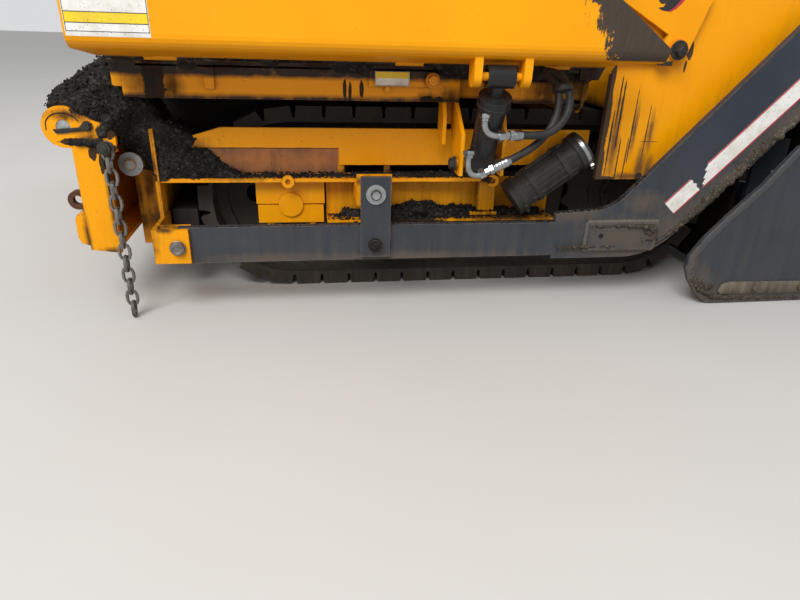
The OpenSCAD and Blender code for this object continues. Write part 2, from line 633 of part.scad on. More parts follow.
// Children drawn along Z are laid along direction d from point a, turned by k degrees
module rotate_about(a, d, k) translate(a) rotate([0, acos(d[2]), atan2(d[1], d[0])]) rotate([0, 0, k]) children();
module air_duct() color(black) {
    d = (duct_b - duct_a) / norm(duct_b - duct_a);
    strut(duct_a, duct_b, duct_r - 8);
    for (at = [[0, 42], [78, 96], [200, 218], [262, 302]]) strut(duct_a + d * at[0], duct_a + d * at[1], duct_r);
    // Ribs along the middle
    for (i = [0:11]) rotate_about(duct_a, d, i * 30) translate([duct_r - 10, -5, 60]) cube([7, 10, 180]);
}

// Augers and what carries them
auger_in_y = 62;
auger_out_y = 985;
auger_shaft_r = 38;
module auger_drive() color(dark) {
    slab([auger_x - 60, auger_x + 60], [-45, 45], [auger_z - 75, 475]);
    both() slab([auger_x - 40, auger_x + 40], [auger_out_y + 8, auger_out_y + 28], [auger_z - 55, 560]);
    both() shaft(auger_x, auger_z, auger_out_y - 20, auger_out_y + 8, 20);
    both() shaft(auger_x, auger_z, 45, auger_in_y + 20, 20);
    both() slab([auger_x + 40, body_rear_x - 10], [auger_out_y + 8, auger_out_y + 28], [440, 560]);
    slab([auger_x + 60, body_rear_x - 10], [-45, 45], [435, 475]);
}
turns = (auger_out_y - auger_in_y - 60) / auger_pitch;
seg_n = 20;
flight_n = floor(turns * seg_n);
flight_t = 12;
function flight_ring(i) = let (a = 360 * i / seg_n, y = auger_pitch * i / seg_n, r0 = auger_shaft_r - 2, r1 = auger_d / 2) [
    [r0 * cos(a), r0 * sin(a), y], [r1 * cos(a), r1 * sin(a), y], [r1 * cos(a), r1 * sin(a), y + flight_t], [r0 * cos(a), r0 * sin(a), y + flight_t]];
module auger() color(dark) {
    difference() {
        shaft(auger_x, auger_z, auger_in_y, auger_out_y, auger_shaft_r);
        shaft(auger_x, auger_z, auger_in_y - eps, auger_in_y + 22, 20 + run_gap);
        shaft(auger_x, auger_z, auger_out_y - 22, auger_out_y + eps, 20 + run_gap);
    }
    translate([auger_x, -(auger_in_y + 30), auger_z]) rotate([90, 0, 0]) polyhedron(
        points = [for (i = [0:flight_n]) each flight_ring(i)],
        faces = concat(
            [[3, 2, 1, 0]],
            [for (i = [0:flight_n - 1]) each let (p = 4 * i, q = 4 * i + 4) [for (k = [0:3]) each let (m = (k + 1) % 4) [
                [p + k, p + m, q + k], [p + m, q + m, q + k]]]],
            [[4 * flight_n, 4 * flight_n + 1, 4 * flight_n + 2, 4 * flight_n + 3]]),
        convexity = 10);
}

// Hopper: floor, side channels, cheeks and hanging brackets
channel_cheek_y = 1113;
cheek_low_z = 820;
channel_z = [685, 775];
lip_sheet_x = 84;
lip_r = 60;
lip_drop = 82;
cyl_x = -270;
module hopper_body() color(paint) {
    slab([hopper_front_x, hopper_rear_x], [-channel_y, channel_y], [floor_z - hopper_t, floor_z]);
    // Front beam
    slab([hopper_front_x, hopper_front_x + 80], [-channel_y + 20, channel_y - 20], [channel_z[0] + 30, floor_z - hopper_t]);
    both() {
        // Side channel
        slab([-1318, -334], [channel_y - 10, channel_y], [channel_z[0], channel_z[1]]);
        slab([-1318, -334], [channel_y - 60, channel_y - 10], [channel_z[0], channel_z[0] + 8]);
        slab([-1318, hopper_rear_x], [channel_y - 60, channel_y - 48], [channel_z[0] + 8, floor_z - hopper_t]);
        slab([-182, 12], [channel_y - 10, channel_y], [channel_z[0], 740]);
        slab([-182, 12], [channel_y - 48, channel_y], [740, 752]);
        // Gusset and rib
        slab([-1363, -1318], [channel_y - 12, channel_y], [channel_z[0] + 3, floor_z - hopper_t]);
        slab([-1124, -1094], [channel_y, channel_y + 14], [714, channel_z[1] - 2]);
        // Runner that rests on the main frame
        slab([-1318, 60], [frame_y - 6, frame_y + 30], [frame_top_z + run_gap, floor_z - hopper_t]);
        // Cheek up to the pivot
        difference() {
            plate(channel_cheek_y, channel_cheek_y + 14) polygon([
                [60, floor_z - hopper_t - 20], [hopper_rear_x, floor_z - hopper_t - 20], [150, cheek_low_z], [pivot_x + 30, cheek_low_z + 4],
                [pivot_x + 90, 1010], [pivot_x + 90, 1040], [120, 1040], [120, 1020], [pivot_x - 40, 905], [pivot_x - 60, 872],
                [150, 850], [60, 840]]);
            shaft(pivot_x, pivot_z, channel_cheek_y - eps, channel_cheek_y + 15, pivot_pin_r + run_gap);
        }
        slab([60, hopper_rear_x - 4], [channel_y - 44, channel_cheek_y + 10], [floor_z - hopper_t - 16, floor_z - hopper_t + 4]);
        // Curved rear lip of the side sheet
        wing_section(lip_sheet_x, lip_sheet_x + 12) polygon(concat(
            [[channel_y, floor_z - hopper_t + 1]], arc([channel_y - lip_r, floor_z - lip_drop], lip_r, 0, -70, 6),
            arc([channel_y - lip_r, floor_z - lip_drop], lip_r - 9, -70, 0, 6), [[channel_y - 9, floor_z - hopper_t + 1]]));
        // Latch bar
        slab([-628, -430], [channel_y + 4, channel_y + 10], [729, 790 - 14]);
        shaft(-429, 752, channel_y, channel_y + 18, 24);
        shaft(-570, 722, channel_y, channel_y + 16, 9);
        // Lugs for the hopper cylinders
        for (y = [hopper_cyl_y - 36, hopper_cyl_y + 22]) difference() {
            plate(y, y + 14) { translate(hopper_cyl_top) circle(r = 34); translate(hopper_cyl_top + [-34, 0]) square([68, floor_z - hopper_t - hopper_cyl_top[1]]); }
            plate(y - eps, y + 14 + eps) translate(hopper_cyl_top) circle(r = 14);
        }
        shaft(hopper_cyl_top[0], hopper_cyl_top[1], hopper_cyl_y - 36, hopper_cyl_y + 36, 14);
    }
    // Wing hinge tubes
    both() for (x = [hopper_front_x + 20, -640, 20]) {
        translate([x, -wing_hinge_y, wing_hinge_z]) rotate([0, 90, 0]) cylinder(r = 14, h = 90);
        slab([x, x + 90], [channel_y - 20, wing_hinge_y - 8], [floor_z - hopper_t, wing_hinge_z]);
    }
}

// Wing cylinder's pins, as distance from the centre plane and height
wing_cyl_low = [1190, 505];
wing_cyl_top = [1322, 780];

// Hangers under the hopper's side channel that hold the wing cylinder's lower pin
hanger_pin_r = 14;
hanger_low_z = wing_cyl_low[1] - 34;
module hanger_plate(x, pts) difference() {
    translate([x, 0, 0]) rotate([90, 0, 90]) linear_extrude(12) mirror([1, 0]) polygon(pts);
    translate([x - eps, -wing_cyl_low[0], wing_cyl_low[1]]) rotate([0, 90, 0]) cylinder(r = hanger_pin_r + run_gap, h = 14);
}
module wing_hanger() color(paint) {
    hanger_plate(cyl_x - 76, [[channel_y - 60, channel_z[0]], [channel_y - 2, channel_z[0]], [wing_cyl_low[0] + 34, 600],
        [wing_cyl_low[0] + 34, hanger_low_z], [wing_cyl_low[0] - 34, hanger_low_z], [channel_y - 60, 640]]);
    hanger_plate(cyl_x - 117, [[channel_y - 60, channel_z[0]], [channel_y - 2, channel_z[0]], [channel_y + 20, 640],
        [channel_y + 20, 555], [channel_y - 10, 555], [channel_y - 60, 600]]);
    slab([cyl_x - 106, cyl_x - 75], [channel_y - 60, channel_y - 52], [610, channel_z[0]]);
    hanger_plate(cyl_x + 60, [[channel_y - 48, floor_z - hopper_t], [channel_y + 14, floor_z - hopper_t], [wing_cyl_low[0] + 34, 600],
        [wing_cyl_low[0] + 34, hanger_low_z], [wing_cyl_low[0] - 34, hanger_low_z], [channel_y - 48, channel_z[0]]]);
    translate([cyl_x - 80, -wing_cyl_low[0], wing_cyl_low[1]]) rotate([0, 90, 0]) cylinder(r = hanger_pin_r, h = 156);
}

// Wing: floor plate rising outwards, rounded bend and upright wall
wing_x = [-1410, 213];
wing_rake_x = -48;
wing_rake_z = 1050;
bend_r = 40;
wing_low_z = 826;
module wing_profile() {
    // Drawn in Y (distance outwards) and Z
    a0 = [wing_hinge_y + 14, wing_hinge_z - 4];
    c = [wing_y - bend_r, wing_low_z + bend_r];
    outer = concat([a0], arc(c, bend_r, -90, 0, 6), [[wing_y, wing_top_z]]);
    inner = concat([[wing_y - hopper_t, wing_top_z]], arc(c, bend_r - hopper_t, 0, -90, 6), [a0 + [0, hopper_t]]);
    polygon(concat(outer, inner));
}
module wing_section(x0, x1) translate([x0, 0, 0]) rotate([90, 0, 90]) linear_extrude(x1 - x0) mirror([1, 0]) children();
module wing() color(paint) {
    difference() {
        union() {
            wing_section(wing_x[0], wing_x[1]) wing_profile();
            // Top stiffener
            slab(wing_x, [wing_y - 45, wing_y - hopper_t + 1], [wing_top_z - 12, wing_top_z]);
        }
        // Rear edge, raked forwards above the pivot, and the floor cut back to the hinge line
        plate(wing_hinge_y - 60, wing_y + eps) polygon([[wing_x[1] + eps, wing_low_z + 40], [wing_rake_x, wing_rake_z],
            [wing_rake_x, wing_top_z + eps], [wing_x[1] + eps, wing_top_z + eps]]);
        slab([hopper_rear_x, wing_x[1] + eps], [wing_hinge_y - 20, wing_y - bend_r], [wing_hinge_z - 20, wing_low_z + 30]);
    }
    // Hinge knuckles
    for (x = [hopper_front_x + 112, -548, -70]) difference() {
        translate([x, -wing_hinge_y, wing_hinge_z]) rotate([0, 90, 0]) cylinder(r = 14, h = 88);
    }
    for (x = [hopper_front_x + 112, -548, -70]) slab([x, x + 88], [wing_hinge_y, wing_hinge_y + 30], [wing_hinge_z - 4, wing_hinge_z + 8]);
    // Ears for the cylinder's eye
    for (x = [cyl_x - 85, cyl_x + 61]) difference() {
        wing_section(x, x + 24) {
            translate([wing_cyl_top[0] - 30, wing_cyl_top[1]]) square([60, 60]);
            translate(wing_cyl_top) circle(r = 30);
        }
    }
    translate([cyl_x - 61, -wing_cyl_top[0], wing_cyl_top[1]]) rotate([0, 90, 0]) cylinder(r = 12, h = 122);
}

// Wing cylinder
wing_dir = (wing_cyl_top - wing_cyl_low) / norm(wing_cyl_top - wing_cyl_low);
wing_reach = norm(wing_cyl_top - wing_cyl_low);
wing_tilt = atan2(wing_dir[0], wing_dir[1]);
// Places children with Z along the cylinder from its lower pin
module on_wing_cyl() translate([cyl_x, -wing_cyl_low[0], wing_cyl_low[1]]) rotate([wing_tilt, 0, 0]) children();
module wing_barrel() color(black) on_wing_cyl() difference() {
    union() {
        translate([0, 0, 34]) cylinder(d = wing_barrel_d, h = wing_reach - 34 - 62);
        translate([0, 0, wing_reach - 96]) cylinder(d = wing_barrel_d + 16, h = 34);
        translate([-50, 0, 0]) rotate([0, 90, 0]) cylinder(r = 30, h = 100);
        translate([-42, -28, 0]) cube([84, 56, 36]);
    }
    translate([-60, 0, 0]) rotate([0, 90, 0]) cylinder(r = 14 + run_gap, h = 120);
    translate([0, 0, 40]) cylinder(r = 20 + run_gap, h = wing_reach);
}
module wing_rod() color(bright) on_wing_cyl() difference() {
    union() {
        translate([0, 0, 44]) cylinder(r = 20, h = wing_reach - 44 - 20);
        translate([-40, 0, wing_reach]) rotate([0, 90, 0]) cylinder(r = 32, h = 80);
    }
    translate([-60, 0, wing_reach]) rotate([0, 90, 0]) cylinder(r = 22, h = 120);
}

// Cylinder that lies in the X-Z plane at a distance from the centre plane
module on_cyl(base, top, y) translate([base[0], -y, base[1]])
    rotate([0, atan2(top[0] - base[0], top[1] - base[1]), 0]) children();
// Plain neck between a barrel and its eye
neck_l = 30;
module barrel(reach, r, pin_r, half, closed, eye_r) difference() {
    union() {
        translate([0, 0, eye_r + neck_l]) cylinder(r = r, h = closed - eye_r - neck_l);
        translate([0, 0, closed - 24]) cylinder(r = r + 5, h = 24);
        cylinder(r = half - 1, h = eye_r + neck_l + eps);
        translate([0, half, 0]) rotate([90, 0, 0]) cylinder(r = eye_r, h = 2 * half);
    }
    translate([0, half + eps, 0]) rotate([90, 0, 0]) cylinder(r = pin_r + run_gap, h = 2 * half + 2 * eps);
    translate([0, 0, eye_r + neck_l + 12]) cylinder(r = r - 9, h = closed);
}
// Thinner neck between a rod and its eye
rod_neck_l = 9;
module rod(reach, r, pin_r, half, start, eye_r) difference() {
    union() {
        translate([0, 0, start]) cylinder(r = r, h = reach - start - eye_r - rod_neck_l);
        translate([0, 0, start]) cylinder(r = min(r, half - 1), h = reach - start - eye_r + 4);
        translate([0, half, reach]) rotate([90, 0, 0]) cylinder(r = eye_r, h = 2 * half);
    }
    translate([0, half + eps, reach]) rotate([90, 0, 0]) cylinder(r = pin_r, h = 2 * half + 2 * eps);
}

// Hopper lift cylinders between the main frame and the hopper floor
hopper_cyl_y = 450;
hopper_cyl_base = [-560, 222];
hopper_cyl_top = [-600, 735];
hopper_reach = norm(hopper_cyl_top - hopper_cyl_base);
module hopper_barrel() color(black) on_cyl(hopper_cyl_base, hopper_cyl_top, hopper_cyl_y)
    barrel(hopper_reach, 45, 14, 19, hopper_reach - 45, 32);
module hopper_rod() color(bright) on_cyl(hopper_cyl_base, hopper_cyl_top, hopper_cyl_y)
    rod(hopper_reach, 25, 23, 21.7, 78, 33);

// Screed lift cylinders behind the body
lift_y = 1050;
lift_top = [1040, 1000];
lift_low = [screed_front_x + 60, screed_h + 60];
lift_reach = norm(lift_top - lift_low);
module lift_barrel() color(black) on_cyl(lift_top, lift_low, lift_y) barrel(lift_reach, 32, 14, 23, lift_reach - 243, 26);
module lift_rod() color(bright) on_cyl(lift_top, lift_low, lift_y) rod(lift_reach, 18, 13.5, 22, 290, 27);

// Tow arm: front bar, rising plate, arch over the augers and leg down to the screed
bar_z = [tow_z - bar_h / 2, tow_z + bar_h / 2];
arm_low_z = 168;
arm_low_x = 400;
arch_z = 1010;
arch_w = 200;
leg_x = [screed_front_x + 20, screed_front_x + 150];
function rise_pt(d, u) = [arm_low_x, arm_low_z] + d * [cos(rise_a), sin(rise_a)] + u * [-sin(rise_a), cos(rise_a)];
// Radii of the arm's bends: heel below, throat above, and under the arch
heel_r = 260;
throat_r = 150;
arch_r = 90;
// Point on the line of the rising plate's lower edge, d along it and u above it; heel arc starts where the level edge ends
heel_x = arm_low_x - heel_r * tan(rise_a / 2);
throat_line = rise_pt(0, rise_w);
arm_top_z = 341;
throat_x = throat_line[0] + (arm_top_z - throat_line[1]) / tan(rise_a);
throat_back = throat_r * tan(rise_a / 2);
arch_low_z = arch_z - arch_w;
arch_in_x = arm_low_x + (arch_low_z - arm_low_z) / tan(rise_a);
shoulder_x = throat_x + (arch_z - arm_top_z) / tan(rise_a);
arm_profile = concat(
    [[20, arm_low_z]],
    arc([heel_x, arm_low_z + heel_r], heel_r, -90, -90 + rise_a, 6),
    arc([arch_in_x + arch_r * tan(rise_a / 2), arch_low_z - arch_r], arch_r, 90 + rise_a, 90, 4),
    arc([leg_x[0] - 40, arch_low_z - 40], 40, 90, 0, 3),
    [[leg_x[0], 200], [leg_x[1], 200], [leg_x[1], arch_low_z], [leg_x[1] + 70, arch_low_z + 40], [leg_x[1] + 70, arch_z - 20],
     [leg_x[1] + 50, arch_z]],
    arc([shoulder_x + throat_r * tan(rise_a / 2), arch_z - throat_r], throat_r, 90, 90 + rise_a, 4),
    arc([throat_x - throat_back, arm_top_z + throat_r], throat_r, -90 + rise_a, -90, 4),
    [[30, arm_top_z - 8], [20, arm_top_z - 14]]);
module tow_arm() color(dark) difference() {
    union() {
        plate(arm_y - arm_t, arm_y) polygon(arm_profile);
        plate(arm_y - arm_t, arm_y) polygon(rect([tow_x, 40], bar_z));
        shaft(tow_x, tow_z, arm_y - arm_t, arm_y, bar_h / 2 - 12);
        slab([143, 395], [arm_y, arm_y + 14], [202, 297]);
        // Foot bolted to the screed's end
        slab([leg_x[0] + 10, leg_x[1] - 10], [screed_y, arm_y - arm_t], [210, 300]);
    }
    shaft(tow_x, tow_z, arm_y - arm_t - eps, arm_y + eps, tow_pin_d / 2 + run_gap);
}
module tow_pin() color(zinc) shaft(tow_x, tow_z, arm_y - arm_t - lug_gap - 20, arm_y + lug_gap + 22, tow_pin_d / 2);

// Screed
screed_rear_x = screed_front_x + screed_l;
screed_chamfer = 60;
screed_nose_r = 40;
module screed_main() color(dark) {
    plate(-screed_y, screed_y) polygon(concat(
        [[screed_rear_x, 0], [screed_rear_x, screed_h - screed_chamfer], [screed_rear_x - screed_chamfer, screed_h],
         [screed_front_x + screed_nose_r, screed_h], [screed_front_x, screed_h - screed_chamfer]],
        arc([screed_front_x + screed_nose_r, screed_nose_r], screed_nose_r, 180, 270, 6)));
    // Lugs for the lift cylinders
    both() for (y = [lift_y - 36, lift_y + 24]) difference() {
        plate(y, y + 12) { translate(lift_low) circle(r = 26); translate([lift_low[0] - 26, screed_h - 2]) square([52, lift_low[1] - screed_h + 2]); }
        plate(y - eps, y + 12 + eps) translate(lift_low) circle(r = 13);
    }
    both() shaft(lift_low[0], lift_low[1], lift_y - 36, lift_y + 36, 13);
    // Slide rail behind, that the extensions run along
    slab([screed_rear_x, ext_x[0] - run_gap], [-screed_y, screed_y], [140, 240]);
    // Posts that the depth screws bear on
    both() slab([leg_x[1] + 8, leg_x[1] + 62], [screed_y - 60, screed_y], [screed_h - 70, screed_h + 40]);
}
screw_x = leg_x[1] + 35;
module depth_screw() color(zinc) {
    shaft_z(screw_x, screed_y - 30, screed_h + 40, arch_z + 90, 15);
    shaft_z(screw_x, screed_y - 30, arch_z + 90, arch_z + 110, 30);
    strut([screw_x, -(screed_y - 30), arch_z + 100], [screw_x, -(screed_y - 180), arch_z + 100], 9);
    slab([screw_x - 30, screw_x + 30], [screed_y - 60, arm_y - arm_t], [arch_z - 90, arch_z - 40]);
}
walk_z = screed_h + 30;
walk_t = 8;
walk_front_x = screed_rear_x - 24;
module walkboard() color(dark) {
    slab([walk_front_x, walk_rear_x], [-screed_y, screed_y], [walk_z, walk_z + walk_t]);
    slab([walk_rear_x - walk_t, walk_rear_x], [-screed_y, screed_y], [walk_z - 40, walk_z + eps]);
    for (y = [-0.79, -0.26, 0.26, 0.79] * screed_y) plate(y - 20, y + 20) polygon([
        [walk_front_x, screed_h - screed_chamfer + screed_rear_x - walk_front_x],
        [screed_rear_x, screed_h - screed_chamfer], [screed_rear_x, walk_z + eps], [walk_front_x, walk_z + eps]]);
}
ext_x = [screed_rear_x + 8, screed_rear_x + 8 + ext_l];
ext_h = 340;
module screed_ext() color(dark) {
    plate(12, gate_y - gate_t) polygon(concat(
        [[ext_x[1], 0], [ext_x[1], ext_h - 40], [ext_x[1] - 40, ext_h], [ext_x[0], ext_h]],
        arc([ext_x[0] + 30, 30], 30, 180, 270, 6)));
}
gate_pts = concat(
    [[1500, 0], [1500, 560], [880, 600], [817, 575], [717, 442], [615, 333], [549, 254], [509, 191], [505, 145]],
    [[524, 100], [560, 50], [600, 15], [640, 0]]);
module end_gate() color(dark) {
    plate(gate_y - gate_t, gate_y) polygon(gate_pts);
}

main_frame();
front_bumper();
both() tow_hook();  // tow_hooks
union() { side_frame(); tow_pin(); }  // side_frame_left
right() { side_frame(); tow_pin(); }  // side_frame_right
both() { bearing_block(); axle_cap(); }  // bearing_blocks
both() guide_strap();  // guide_straps
track();  // track_left
right() track();  // track_right
both() track_frame();  // track_frames
track_wheels();  // track_wheels_left
right() track_wheels();  // track_wheels_right
chain();  // chain_left
right() chain();  // chain_right
side_plate();  // side_plate_left
right() side_plate();  // side_plate_right
rear_body();
deck();
engine();
exhaust_stack();
right() fuel_tank();
hydraulic_tank();
console();
both() seat_frame();  // seat_frames
seat_pad();  // seat_pad_left
right() seat_pad();  // seat_pad_right
air_duct();
auger_drive();
engine_hood();
push_roller();  // push_roller_left
right() push_roller();  // push_roller_right
auger();  // auger_left
right() auger();  // auger_right
hopper_body();
wing();  // wing_left
right() wing();  // wing_right
wing_barrel();  // wing_barrel_left
right() wing_barrel();  // wing_barrel_right
wing_rod();  // wing_rod_left
right() wing_rod();  // wing_rod_right
both() hopper_barrel();  // hopper_barrels
both() hopper_rod();  // hopper_rods
screed_main();
tow_arm();  // tow_arm_left
right() tow_arm();  // tow_arm_right
both() depth_screw();  // depth_screws
walkboard();
both() lift_barrel();  // lift_barrels
both() lift_rod();  // lift_rods
screed_ext();  // screed_ext_left
right() screed_ext();  // screed_ext_right
end_gate();  // end_gate_left
right() end_gate();  // end_gate_right
both() wing_hanger();  // wing_hangers
both() lift_bracket();  // lift_brackets
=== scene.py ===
"""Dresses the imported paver: finishes, fittings, hoses, mix, seats and small parts, with camera, floor and light."""
import json
import math
import random

import bpy
from mathutils import Matrix, Vector, noise

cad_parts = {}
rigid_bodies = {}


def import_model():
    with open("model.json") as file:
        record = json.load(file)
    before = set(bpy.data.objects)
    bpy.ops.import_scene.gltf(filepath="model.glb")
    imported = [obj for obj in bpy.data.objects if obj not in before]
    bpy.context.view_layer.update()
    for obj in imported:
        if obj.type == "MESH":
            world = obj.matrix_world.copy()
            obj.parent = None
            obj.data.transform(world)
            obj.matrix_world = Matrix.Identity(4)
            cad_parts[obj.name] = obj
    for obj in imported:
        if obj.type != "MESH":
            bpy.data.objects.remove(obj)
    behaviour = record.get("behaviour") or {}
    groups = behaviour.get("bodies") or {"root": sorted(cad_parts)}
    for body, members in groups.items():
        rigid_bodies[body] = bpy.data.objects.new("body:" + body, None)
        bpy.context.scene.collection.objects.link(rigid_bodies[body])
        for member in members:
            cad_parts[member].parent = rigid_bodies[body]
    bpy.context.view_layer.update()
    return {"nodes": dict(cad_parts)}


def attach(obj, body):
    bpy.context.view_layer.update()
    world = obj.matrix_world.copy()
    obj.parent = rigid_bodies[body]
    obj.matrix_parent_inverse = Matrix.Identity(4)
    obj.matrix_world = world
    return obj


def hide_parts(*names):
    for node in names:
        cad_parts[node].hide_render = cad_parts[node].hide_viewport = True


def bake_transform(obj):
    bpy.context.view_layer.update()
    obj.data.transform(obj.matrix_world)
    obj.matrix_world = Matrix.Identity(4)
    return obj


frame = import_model()
SIDES = (("left", -1), ("right", 1))

# Camera: a wide lens at chest height beside the machine, looking down at the side frame
CAMERA_PLACE = (-0.82, -3.08, 0.9)
CAMERA_AXES = ((0.98914, -0.14392, 0.03015), (0.03284, 0.41608, 0.90874), (-0.14333, -0.89788, 0.41628))
CAMERA_LENS, SENSOR_WIDTH = 26.775, 36

deselect_all = bpy.ops.object.select_all
deselect_all(action="DESELECT")
bpy.ops.object.camera_add()
camera = bpy.context.object
camera.name = "camera"
camera.data.lens = CAMERA_LENS
camera.data.sensor_width = SENSOR_WIDTH
right, up, back = (Vector(axis) for axis in CAMERA_AXES)
camera.matrix_world = Matrix.Translation(CAMERA_PLACE) @ Matrix((right, up, back)).transposed().to_4x4()
bpy.context.scene.camera = camera
bpy.context.scene.view_settings.view_transform = "Standard"


def srgb(code):
    """Turns an sRGB hex value into the linear colour that a socket takes."""
    channels = [int(code[i:i + 2], 16) / 255 for i in (1, 3, 5)]
    return [c / 12.92 if c <= 0.04045 else ((c + 0.055) / 1.055) ** 2.4 for c in channels] + [1.0]


# Sockets that a tuple of inputs fills, where they aren't simply the first ones
SOCKETS = {"Mix": (0, 6, 7), "TexNoise": (0, 2, 3, 4)}
MIX_RESULT = 2


def node(tree, kind, inputs=(), output=0, **settings):
    """Adds a shader node, sets what is named, gives each socket a value or another node's output, and returns
    one output. A dict names its sockets; a tuple fills them in order, such as value, from and to of a MapRange."""
    made = tree.nodes.new("ShaderNode" + kind)
    if kind == "Mix":
        made.data_type, output = "RGBA", MIX_RESULT
    for name, value in settings.items():
        setattr(made, name, value)
    if isinstance(inputs, tuple):
        inputs = dict(zip(SOCKETS.get(kind, range(len(inputs))), inputs))
    for socket, value in inputs.items():
        if isinstance(value, bpy.types.NodeSocket):
            tree.links.new(value, made.inputs[socket])
        else:
            made.inputs[socket].default_value = value
    return made.outputs[output] if made.outputs else None


def empty_material(name):
    """A material with nothing in it but its output node."""
    material = bpy.data.materials.new(name)
    material.use_nodes = True
    material.node_tree.nodes.clear()
    return material, material.node_tree


def surface(name, base, tint, rough=(0.4, 0.6), metal=0.0, patch=0.25, grain_mm=3.0, grain_depth_mm=0.05,
        dirt="#5C5044", dirt_share=0.5, low_share=0.4, bare="#4A2F20", edge_mm=3.0, edge_share=0.8,
        speck="#151413", speck_share=0.25, peeled=(), sooted=(), peeled_colour="#1A1715",
        soot_colour="#26180D", streak=0.0, coat=0.0, rim=(), scraped=(), shine=0.4):
    """A finish in layers: its colour in two tones, dirt and painted shade in corners, dirt near the ground, soot
    (painted shade at some places) and sharp-edged asphalt film at the places given, asphalt specks, and bare material
    along worn edges."""
    material, tree = empty_material(name)
    place = node(tree, "TexCoord", output="Object")
    tone = node(tree, "TexNoise", (place, 1 / patch, 5, 0.6))
    tone = node(tree, "MapRange", (tone, 0.38, 0.66))
    colour = node(tree, "Mix", (tone, srgb(base), srgb(tint)))
    patches = node(tree, "TexNoise", (place, 24, 7, 0.72))
    # Rain streaks: the pattern is drawn out along the height
    drawn = node(tree, "Mapping", {"Vector": place, "Scale": (38, 38, 3)})
    runs = node(tree, "TexNoise", (drawn, 1, 5, 0.65))
    # Corners get dirt and painted shade, both from an ambient occlusion mask, and what is close to the ground gets
    # dirt
    corner_dirt_and_shade = node(tree, "AmbientOcclusion", {"Distance": 0.11}, samples=6, output="AO")
    corner_dirt_and_shade = node(tree, "MapRange", (corner_dirt_and_shade, 0.8, 0.25))
    height = node(tree, "SeparateXYZ", (place,), output="Z")
    low = node(tree, "MapRange", (height, 0.62, 0.05))
    low = node(tree, "Math", (low, low_share), operation="MULTIPLY")
    corner_dirt_and_shade = node(tree, "Math", (corner_dirt_and_shade, dirt_share), operation="MULTIPLY")
    dirt_and_shade = node(tree, "Math", (low, corner_dirt_and_shade), operation="ADD")
    uneven = node(tree, "MapRange", (runs, 0.32, 0.68, 0.35, 1.5))
    dirt_and_shade = node(tree, "Math", (dirt_and_shade, uneven), operation="MULTIPLY")
    if streak:
        run_mask = node(tree, "MapRange", (runs, 0.56, 0.74, 0, streak))
        dirt_and_shade = node(tree, "Math", (dirt_and_shade, run_mask), operation="ADD")
    dirt_and_shade = node(tree, "Math", (dirt_and_shade, 0.95), operation="MINIMUM")
    colour = node(tree, "Mix", (dirt_and_shade, colour, srgb(dirt)))
    # Soot spreads softly round its places, and at some places it is painted shade; film peels off with a sharp,
    # ragged edge
    film_mask = None
    for places, edge, spread, share, shade in ((sooted, (0.12, 0.85), 0.55, 0.88, soot_colour),
            (peeled, (0.3, 0.38), 0.55, 0.96, peeled_colour)):
        if not places:
            continue
        near = None
        for x, z, reach_x, reach_z in places:
            away = node(tree, "Mapping", {"Vector": place, "Scale": (1 / reach_x, 0, 1 / reach_z),
                "Location": (-x / reach_x, 0, -z / reach_z)})
            away = node(tree, "VectorMath", (away,), operation="LENGTH", output="Value")
            close = node(tree, "Math", (1.0, away), operation="SUBTRACT", use_clamp=True)
            near = close if near is None else node(tree, "Math", (near, close), operation="MAXIMUM")
        ragged = node(tree, "Math", (patches, runs), operation="ADD")
        ragged = node(tree, "MapRange", (ragged, 0.7, 1.3, -spread / 2, spread / 2))
        mask = node(tree, "Math", (near, ragged), operation="ADD")
        mask = node(tree, "MapRange", (mask, edge[0], edge[1], 0, share))
        # Nothing beyond a place's reach
        within = node(tree, "MapRange", (near, 0.0, 0.08))
        mask = node(tree, "Math", (mask, within), operation="MULTIPLY")
        colour = node(tree, "Mix", (mask, colour, srgb(shade)))
        film_mask = mask if film_mask is None else node(tree, "Math", (film_mask, mask), operation="MAXIMUM")
    # Soot, painted shade where it stands for shadow, that thickens from one height to another and ends at a third
    for clean_z, full_z, end_z, share in rim:
        edge_soot_and_shade = node(tree, "MapRange", (height, clean_z, full_z, 0, share))
        ended = node(tree, "MapRange", (height, end_z + (full_z - end_z) / 10, end_z, 1.0, 0.0))
        broken = node(tree, "MapRange", (patches, 0.35, 0.6, 0.65, 1.0))
        edge_soot_and_shade = node(tree, "Math", (edge_soot_and_shade, broken), operation="MULTIPLY")
        edge_soot_and_shade = node(tree, "Math", (edge_soot_and_shade, ended), operation="MULTIPLY")
        colour = node(tree, "Mix", (edge_soot_and_shade, colour, srgb(soot_colour)))
    # Scraped areas beyond a line in x and z, their edge drawn out into upright scratches
    for across_x, across_z, at, ragged_share, from_z in scraped:
        beyond = node(tree, "VectorMath", (place, (across_x, 0, across_z)), operation="DOT_PRODUCT",
            output="Value")
        fine = node(tree, "Mapping", {"Vector": place, "Scale": (190, 190, 14)})
        fine = node(tree, "TexNoise", (fine, 1, 6, 0.7))
        shift = node(tree, "Math", (fine, patches), operation="ADD")
        shift = node(tree, "MapRange", (shift, 0.75, 1.25, -ragged_share, ragged_share))
        beyond = node(tree, "Math", (beyond, shift), operation="ADD")
        mask = node(tree, "MapRange", (beyond, at, at + 0.004))
        above = node(tree, "MapRange", (height, from_z, from_z + 0.006))
        mask = node(tree, "Math", (mask, above), operation="MULTIPLY")
        scrape = node(tree, "Mix", (fine, srgb(peeled_colour), srgb("#5A4C40")))
        colour = node(tree, "Mix", (mask, colour, scrape))
    # Specks of mix, a few millimetres across
    flecks = node(tree, "TexNoise", (place, 150, 2, 0.5))
    flecks = node(tree, "MapRange", (flecks, 0.69, 0.72, 0, 2.2 * speck_share))
    where = node(tree, "MapRange", (patches, 0.42, 0.6))
    flecks = node(tree, "Math", (flecks, where), operation="MULTIPLY", use_clamp=True)
    colour = node(tree, "Mix", (flecks, colour, srgb(speck)))
